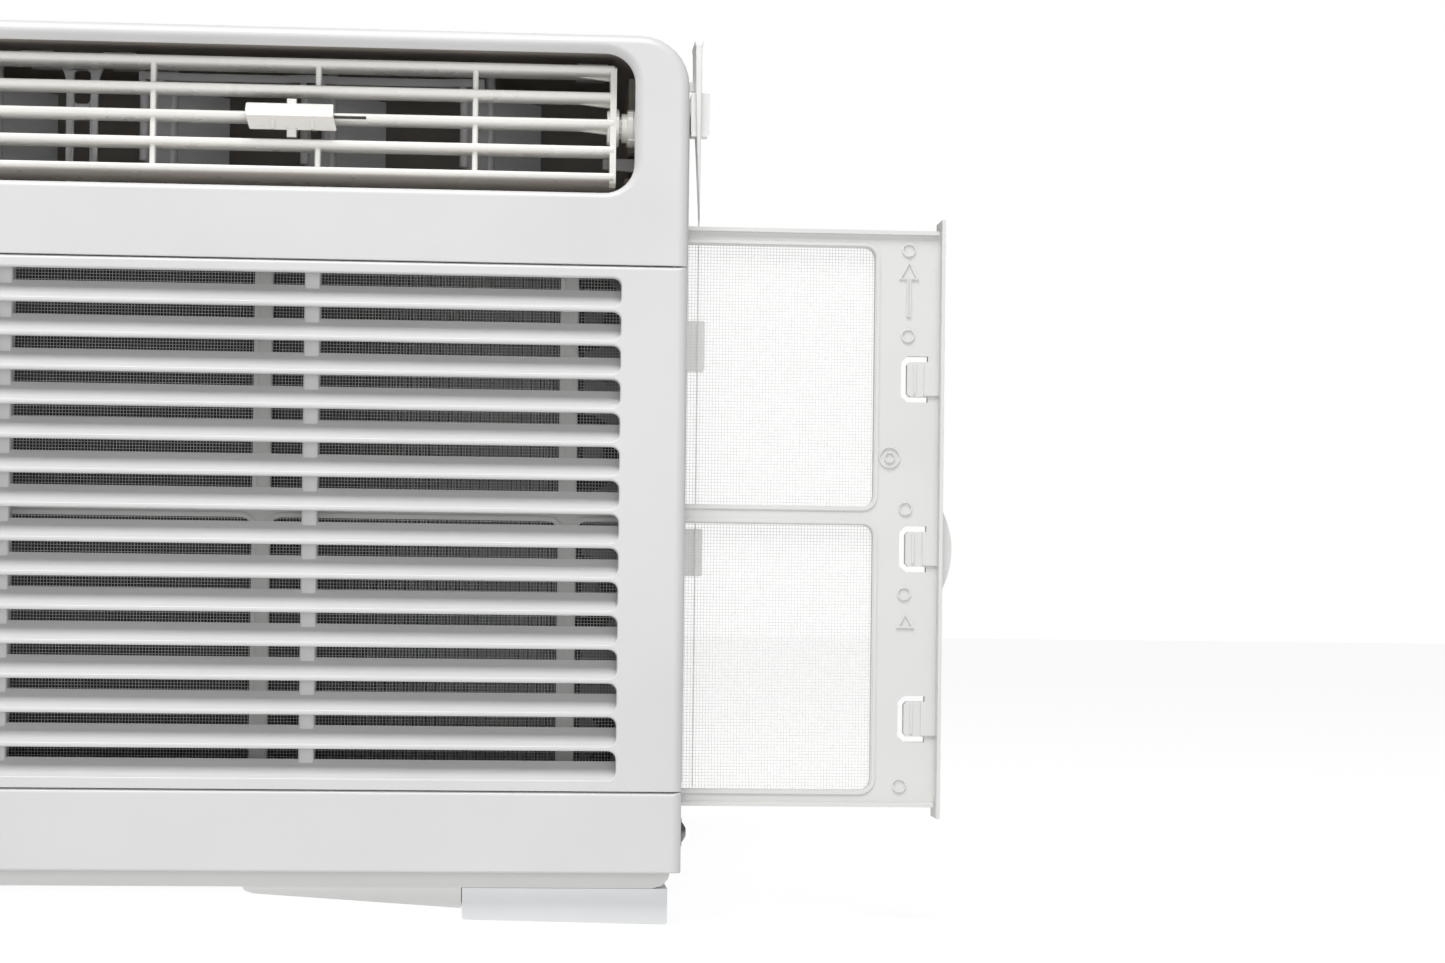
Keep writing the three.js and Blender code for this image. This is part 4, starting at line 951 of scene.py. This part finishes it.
def filter_net():
    """Woven net, its threads as thin strips: the upright ones lie in front of the level ones."""
    d = FILTER_DEEP + FILTER_THICK - 0.4
    half = NET_HALF_THREAD
    bm = bmesh.new()

    def strip(corners, depth):
        bm.faces.new([bm.verts.new(point(x, depth, z)) for x, z in corners])

    for a, b in FILTER_COLUMNS:
        for c, e in FILTER_ROWS:
            for i in range(int((b - a) / NET_PITCH) + 1):
                x = a + i * NET_PITCH
                strip([(x - half, c - 1), (x + half, c - 1), (x + half, e + 1), (x - half, e + 1)], d)
            for i in range(int((e - c) / NET_PITCH) + 1):
                z = c + i * NET_PITCH
                strip([(a - 1, z - half), (b + 1, z - half), (b + 1, z + half), (a - 1, z + half)], d + 0.12)
    obj = new_object("filter_net_threads", bm, weld=False)
    finish(obj, NET, "filter", "filter_mesh")


# ---- controls

def control_panel():
    """Inset panel with holes for the buttons and the display, a row of lamps and three plain bars."""
    x0, x1, z0, z1 = CONTROL
    holes = [circle(x, z, BUTTON_RADIUS + 0.45, 40) for x, z in BUTTONS.values()]
    holes.append(round_rect(*DISPLAY, 2.2, 5))
    bm = bmesh.new()
    add_prism(bm, round_rect(x0 + 0.3, x1 - 0.3, z0 + 0.3, z1 - 0.3, 2.2, 5), 0.2, 2.7, holes=holes)
    piece(bm, "control_panel_body", PANEL, "root", "control_panel", angle=40, bevel=0.35)
    bm = bmesh.new()
    for i in range(5):
        add_prism(bm, circle(-207 + 10 * i, 197, 0.9, 16), 0.05, 0.5)
    for z in (92, 88, 84):
        add_prism(bm, round_rect(-199, -175, z - 0.4, z + 0.4, 0.4, 3), 0.1, 0.5)
    piece(bm, "control_panel_marks", VANE, "root", slot="vane_plastic")


def display_window():
    x0, x1, z0, z1 = DISPLAY
    bm = bmesh.new()
    add_prism(bm, round_rect(x0 + 0.3, x1 - 0.3, z0 + 0.3, z1 - 0.3, 2, 5), 0.4, 2.4)
    piece(bm, "display_window_body", GLASS, "root", "display_window", angle=40, bevel=0.3)


def button(name, x, z):
    """Dished push button with a rounded rim and a small raised symbol."""
    profile = [(0.05, -0.75), (4.0, -0.8), (6.2, -1.0), (7.2, -0.95), (7.8, -0.5), (8.0, 0.4),
               (8.0, 3.2), (9.4, 3.2), (9.4, 4.2), (2.0, 4.2), (2.0, 5.2), (0.05, 5.2)]
    bm = bmesh.new()
    add_lathe(bm, profile, (x, 0, z), "y", 48)
    near, far = -1.05, -0.7
    if name == "button_temp_up":
        add_prism(bm, [(x - 2.6, z - 1.6), (x + 2.6, z - 1.6), (x, z + 2.4)], near, far)
    elif name == "button_temp_down":
        add_prism(bm, [(x - 2.6, z + 1.6), (x, z - 2.4), (x + 2.6, z + 1.6)], near, far)
    elif name == "button_power":
        open_ring = arc(x, z, 2.8, 120, 420, 24) + arc(x, z, 2.1, 420, 120, 24)
        add_prism(bm, open_ring, near, far)
        add_box(bm, x - 0.35, x + 0.35, near, far, z + 0.6, z + 3.2)
    elif name == "button_fan":
        for k in range(3):
            a = math.radians(90 + 120 * k)
            add_prism(bm, circle(x + 1.6 * math.cos(a), z + 1.6 * math.sin(a), 1.1, 16), near, far)
    else:
        add_prism(bm, circle(x, z, 2.6, 24), near, far, holes=[circle(x, z, 1.9, 24)])
    piece(bm, f"{name}_cap", BUTTON, name, name, weld=False, angle=30)


# ---- coils

def coil(name, node, limits, count, material, tube_material, row):
    """Fin pack on hairpin tubes with return bends at both ends."""
    x0, x1, near, far, z0, z1 = limits
    bm = bmesh.new()
    fins = int((x1 - x0) / FIN_PITCH)
    for i in range(fins + 1):
        x = x0 + (x1 - x0) * i / fins
        wide = 0.55 if i in (0, fins) else 0.09
        add_box(bm, x - wide, x + wide, near, far, z0, z1)
    piece(bm, f"{name}_fins", material, "root", node, slot="aluminium_fins", weld=False, angle=30)
    bm = bmesh.new()
    step = (z1 - z0) / count
    radius = 3.5
    reach = 12.5
    half_turn = [math.pi * (-0.5 + k / 10) for k in range(11)]

    def return_bend(x, outward, z):
        """Half turn of tube beyond one end of the fins."""
        path = [(x + outward * reach * math.cos(a), row, z + reach * math.sin(a)) for a in half_turn]
        add_tube(bm, path, radius, 10)

    for i in range(count):
        z = z0 + step * (i + 0.5)
        for half in (-reach, reach):
            add_rod(bm, radius - 0.4, x0 - 1.5, x0 + 2, row, z + half, "x", 10)
            add_rod(bm, radius - 0.4, x1 - 2, x1 + 1.5, row, z + half, "x", 10)
        return_bend(x1, 1, z)
        if i:
            return_bend(x0, -1, z - step / 2)
    piece(bm, f"{name}_tubes", tube_material, "root", slot="copper_tube", weld=False, angle=40)


# ---- side curtains

def bellows(side, label):
    """Gathered vinyl: a folded sheet between the cabinet and the sliding frame."""
    x0, x1 = BELLOWS_X[0], BELLOWS_X[1] - 1.6
    near, far = BELLOWS_D
    z0, z1 = BELLOWS_Z
    creases = 10
    folds = [(x0 + (x1 - x0) * i / creases, 0.4 if i % 2 else 4.0) for i in range(creases + 1)]
    outline = [(x, near + inset) for x, inset in folds]
    outline += [(x, far - inset) for x, inset in reversed(folds)]
    levels = [z0 + (z1 - z0) * k / 8 for k in range(9)]
    bm = bmesh.new()
    add_loft(bm, [[point(side * x, d, z) for x, d in outline] for z in levels])
    obj = new_object(f"curtain_bellows_{label}_folds", bm)
    shade(obj, 25)
    obj.data.materials.append(VINYL)
    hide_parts(f"curtain_bellows_{label}")
    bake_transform(obj)


def curtain_frame(side, label):
    """Strip that thins towards its foot and spreads open at the top, its latch, clips and arm."""
    x0, x1 = STRIP_X
    near, far = BELLOWS_D
    bm = bmesh.new()

    def ring(z, inner, outer, rear):
        return [point(side * x, d, z) for x, d in ((inner, rear), (inner, near + 0.4), (inner + 0.2, near),
                                                   (outer - 0.2, near), (outer, near + 0.4), (outer, rear))]

    add_loft(bm, [ring(46, 246.7, 247.0, near + 5), ring(285, 246.7, 247.0, near + 5),
                  ring(318, 245.5, 247.1, near + 12), ring(342, 244.8, x1, far),
                  ring(359.6, x0 + 0.1, x1, far)])
    # walls that spread at the top, with a gap between them
    for inner, outer, spread in ((x0, x0 + 0.6, -0.2), (x1 - 0.6, x1, 0.9)):
        corners = ((inner, near), (outer, near), (outer, far), (inner, far))
        add_loft(bm, [[point(side * (x + out), d, z) for x, d in corners]
                      for out, z in ((0, 359.4), (spread, 361.5))])
    add_box(bm, *span(side, x0 + 0.2, x1 + 0.4), near + 7, near + 8, 359.4, 361.3)
    latch = round_rect(*span(side, x0 - 1.4, x1 + 3.6), 322.6, 340, 0.8, 4)
    add_prism(bm, latch, near + 3, far - 4)
    for low, high in CURTAIN_CLIPS:
        clip = round_rect(*span(side, x0 - 2.4, x1 + 2.6), low, high, 0.6, 3)
        add_prism(bm, clip, near + 2, near + 14)
    foot = round_rect(*span(side, x0 - 1.4, x1 + 3.0), 321.3, 322.5, 0.4, 3)
    add_prism(bm, foot, near + 2, near + 9)
    piece(bm, f"curtain_frame_{label}_body", CURTAIN, f"curtain_{label}", f"curtain_frame_{label}",
          weld=False, angle=40, bevel=0.15)
    # arm in the top rail, with a lower end where it leaves the rail
    bm = bmesh.new()
    add_prism(bm, round_rect(*span(side, 12, 238), 343, 358, 1.2, 4), 140.9, 143.9)
    add_prism(bm, round_rect(*span(side, 236, x0 + 0.4), 343, 347, 0.6, 3), 141.1, 143.7)
    piece(bm, f"curtain_arm_{label}", CURTAIN, f"curtain_{label}", slot="curtain_frame_plastic",
          weld=False, angle=40, bevel=0.4)


# ---- screws and pan

def fascia_screw(side, label):
    """Shouldered screw head on a thin washer, with a driver recess."""
    face = side * (PANEL_HALF + 0.85)
    profile = [(0.05, 0.0), (5.7, 0.0), (5.8, 0.15), (5.7, 0.4), (3.9, 0.45), (3.7, 0.9), (2.6, 1.6),
               (1.7, 2.1), (1.4, 1.5), (0.05, 1.4)]
    bm = bmesh.new()
    add_lathe(bm, [(r, side * a) for r, a in profile], (face, 24, 34.4), "x", 32)
    piece(bm, f"fascia_screw_{label}_head", SCREW, "root", f"fascia_screw_{label}", slot="galvanised_steel",
          weld=False, angle=30)


def pan_roll():
    """Rolled lower edge of the pan in front, turned up at both ends."""
    radius = 1.1
    half = 231.4 - radius
    low = 14.0 + radius
    turn = 6.0
    right = arc(half - turn, low + turn, turn, 270, 360, 8)
    left = arc(-half + turn, low + turn, turn, 180, 270, 8)
    bm = bmesh.new()
    add_tube(bm, [(x, 9.2, z) for x, z in left + right + [(half, 25.0)]], radius, 12)
    piece(bm, "base_pan_roll", PAINT, "root", slot="painted_steel", weld=False, angle=60)


# ---- CAD nodes shown as they are

CARRIED = {
    "control_board": (BOARD, 0.2),
    "control_box": (ZINC, 0.4),
    "run_capacitor": (CAN, 0.8),
    "cabinet_shell": (PAINT, 0.35),
    "base_pan": (PAINT, 0.5),
    "front_foot_right": (FOOT, 0.6),
    "front_foot_left": (FOOT, 0.6),
    "sill_rail": (ZINC, 0.3),
    "top_rail": (ZINC, 0.3),
    "blower_housing": (DARK, 0.6),
    "blower_wheel": (FANS, 0.15),
    "fan_shaft": (ZINC, 0.4),
    "condenser_fan": (FANS, 0.3),
    "fan_motor": (ZINC, 1.2),
    "motor_bracket": (ZINC, 0.4),
    "fan_shroud": (DARK, 0.3),
    "bulkhead": (ZINC, 0.2),
    "compressor": (BLACK, 0.8),
    "compressor_mount": (RUBBER, 0.5),
    "suction_tube": (COPPER, 0),
    "discharge_tube": (COPPER, 0),
    "liquid_tube": (COPPER, 0),
    "rear_guard": (PAINT, 0.4),
    "cord_gland": (RUBBER, 0.6),
}


def carry(name, material, bevel):
    """Shows a CAD node as it is, with this material and a live bevel of this width."""
    obj = NODES[name]
    obj.data.materials.clear()
    obj.data.materials.append(material)
    smooth(obj)
    if bevel:
        add_bevel(obj, bevel, 38)


# ---- stage

def studio():
    scene = bpy.context.scene
    scene.view_settings.view_transform = "Standard"
    world = bpy.data.worlds.new("studio")
    world.use_nodes = True
    tree = world.node_tree
    background = tree.nodes["Background"]
    background.inputs["Color"].default_value = (1.0, 1.0, 1.0, 1.0)
    coords = tree.nodes.new("ShaderNodeTexCoord")
    split = tree.nodes.new("ShaderNodeSeparateXYZ")
    tree.links.new(coords.outputs["Generated"], split.inputs["Vector"])
    height = tree.nodes.new("ShaderNodeMapRange")
    height.inputs["From Min"].default_value = -0.1
    height.inputs["From Max"].default_value = 0.9
    height.inputs["To Min"].default_value = 0.12
    height.inputs["To Max"].default_value = 0.35
    tree.links.new(split.outputs["Z"], height.inputs["Value"])
    path = tree.nodes.new("ShaderNodeLightPath")
    seen = tree.nodes.new("ShaderNodeMix")
    tree.links.new(path.outputs["Is Camera Ray"], seen.inputs["Factor"])
    tree.links.new(height.outputs["Result"], seen.inputs["A"])
    seen.inputs["B"].default_value = 1.0
    tree.links.new(seen.outputs["Result"], background.inputs["Strength"])
    scene.world = world

    bm = bmesh.new()
    bmesh.ops.create_grid(bm, x_segments=1, y_segments=1, size=12.0)
    floor = new_object("floor", bm)
    material, tree, shader, coords = base_material("floor_pale")
    grey = [(at, (value,) * 3 + (1,)) for at, value in ((0.3, 0.10), (0.7, 0.11))]
    tree.links.new(ramp(tree, noise(tree, coords, 0.5), grey), shader.inputs["Base Color"])
    shader.inputs["Roughness"].default_value = 0.9
    shader.inputs["Emission Color"].default_value = (1, 1, 1, 1)
    shader.inputs["Emission Strength"].default_value = 0.9
    floor.data.materials.append(material)
    floor.location.z = -0.0006

    def area(name, location, target, size, power):
        light = bpy.data.lights.new(name, "AREA")
        light.shape = "RECTANGLE"
        light.size, light.size_y = size
        light.energy = power
        obj = bpy.data.objects.new(name, light)
        obj.location = location
        obj.rotation_euler = (Vector(target) - Vector(location)).to_track_quat("-Z", "Y").to_euler()
        scene.collection.objects.link(obj)

    area("key", (-0.1, -1.3, 2.45), (0, -0.17, 0.2), (1.6, 1.2), 69.0)
    area("fill", (0.3, -2.6, 0.55), (0.1, 0, 0.2), (1.6, 1.0), 10.0)


def camera():
    data = bpy.data.cameras.new("camera")
    data.sensor_width = 36.0
    data.lens = 74.74
    data.shift_y = 0.0543
    data.clip_start = 0.05
    data.clip_end = 50
    obj = bpy.data.objects.new("camera", data)
    right = Vector((0.99732, -0.07219, 0.01161))
    up = Vector((-0.01275, -0.01528, 0.99980))
    back = -Vector((0.07200, 0.99727, 0.01616))
    rotation = Matrix((right, up, back)).transposed().to_4x4()
    obj.matrix_world = Matrix.Translation((0.1671, -1.3103, 0.1214)) @ rotation
    bpy.context.scene.collection.objects.link(obj)
    bpy.context.scene.camera = obj


# ---- build

upper_fascia()
intake_grille()
lower_fascia()
outlet_duct()
duct_trim()
louver_frame()
centre_bracket()
for SIDE, LABEL in ((1, "right"), (-1, "left")):
    louver_bush(SIDE, LABEL)
    slider_tab(SIDE, LABEL)
    vane_link(SIDE, LABEL)
    for INDEX in range(3):
        vane(SIDE, LABEL, INDEX)
    bellows(SIDE, LABEL)
    curtain_frame(SIDE, LABEL)
    fascia_screw(SIDE, LABEL)
filter_frame()
filter_net()
control_panel()
display_window()
pan_roll()
for NAME, (BX, BZ) in BUTTONS.items():
    button(NAME, BX, BZ)
# the evaporator's near-black tubes and fins are painted shade
coil("evaporator", "evaporator_coil", EVAPORATOR, 4, COATED_FINS_PAINTED_SHADE, TUBE_PAINTED_SHADE, 44.0)
coil("condenser", "condenser_coil", CONDENSER, 5, FINS, COPPER, 402.0)
for NAME, (MATERIAL, BEVEL) in CARRIED.items():
    carry(NAME, MATERIAL, BEVEL)
studio()
camera()
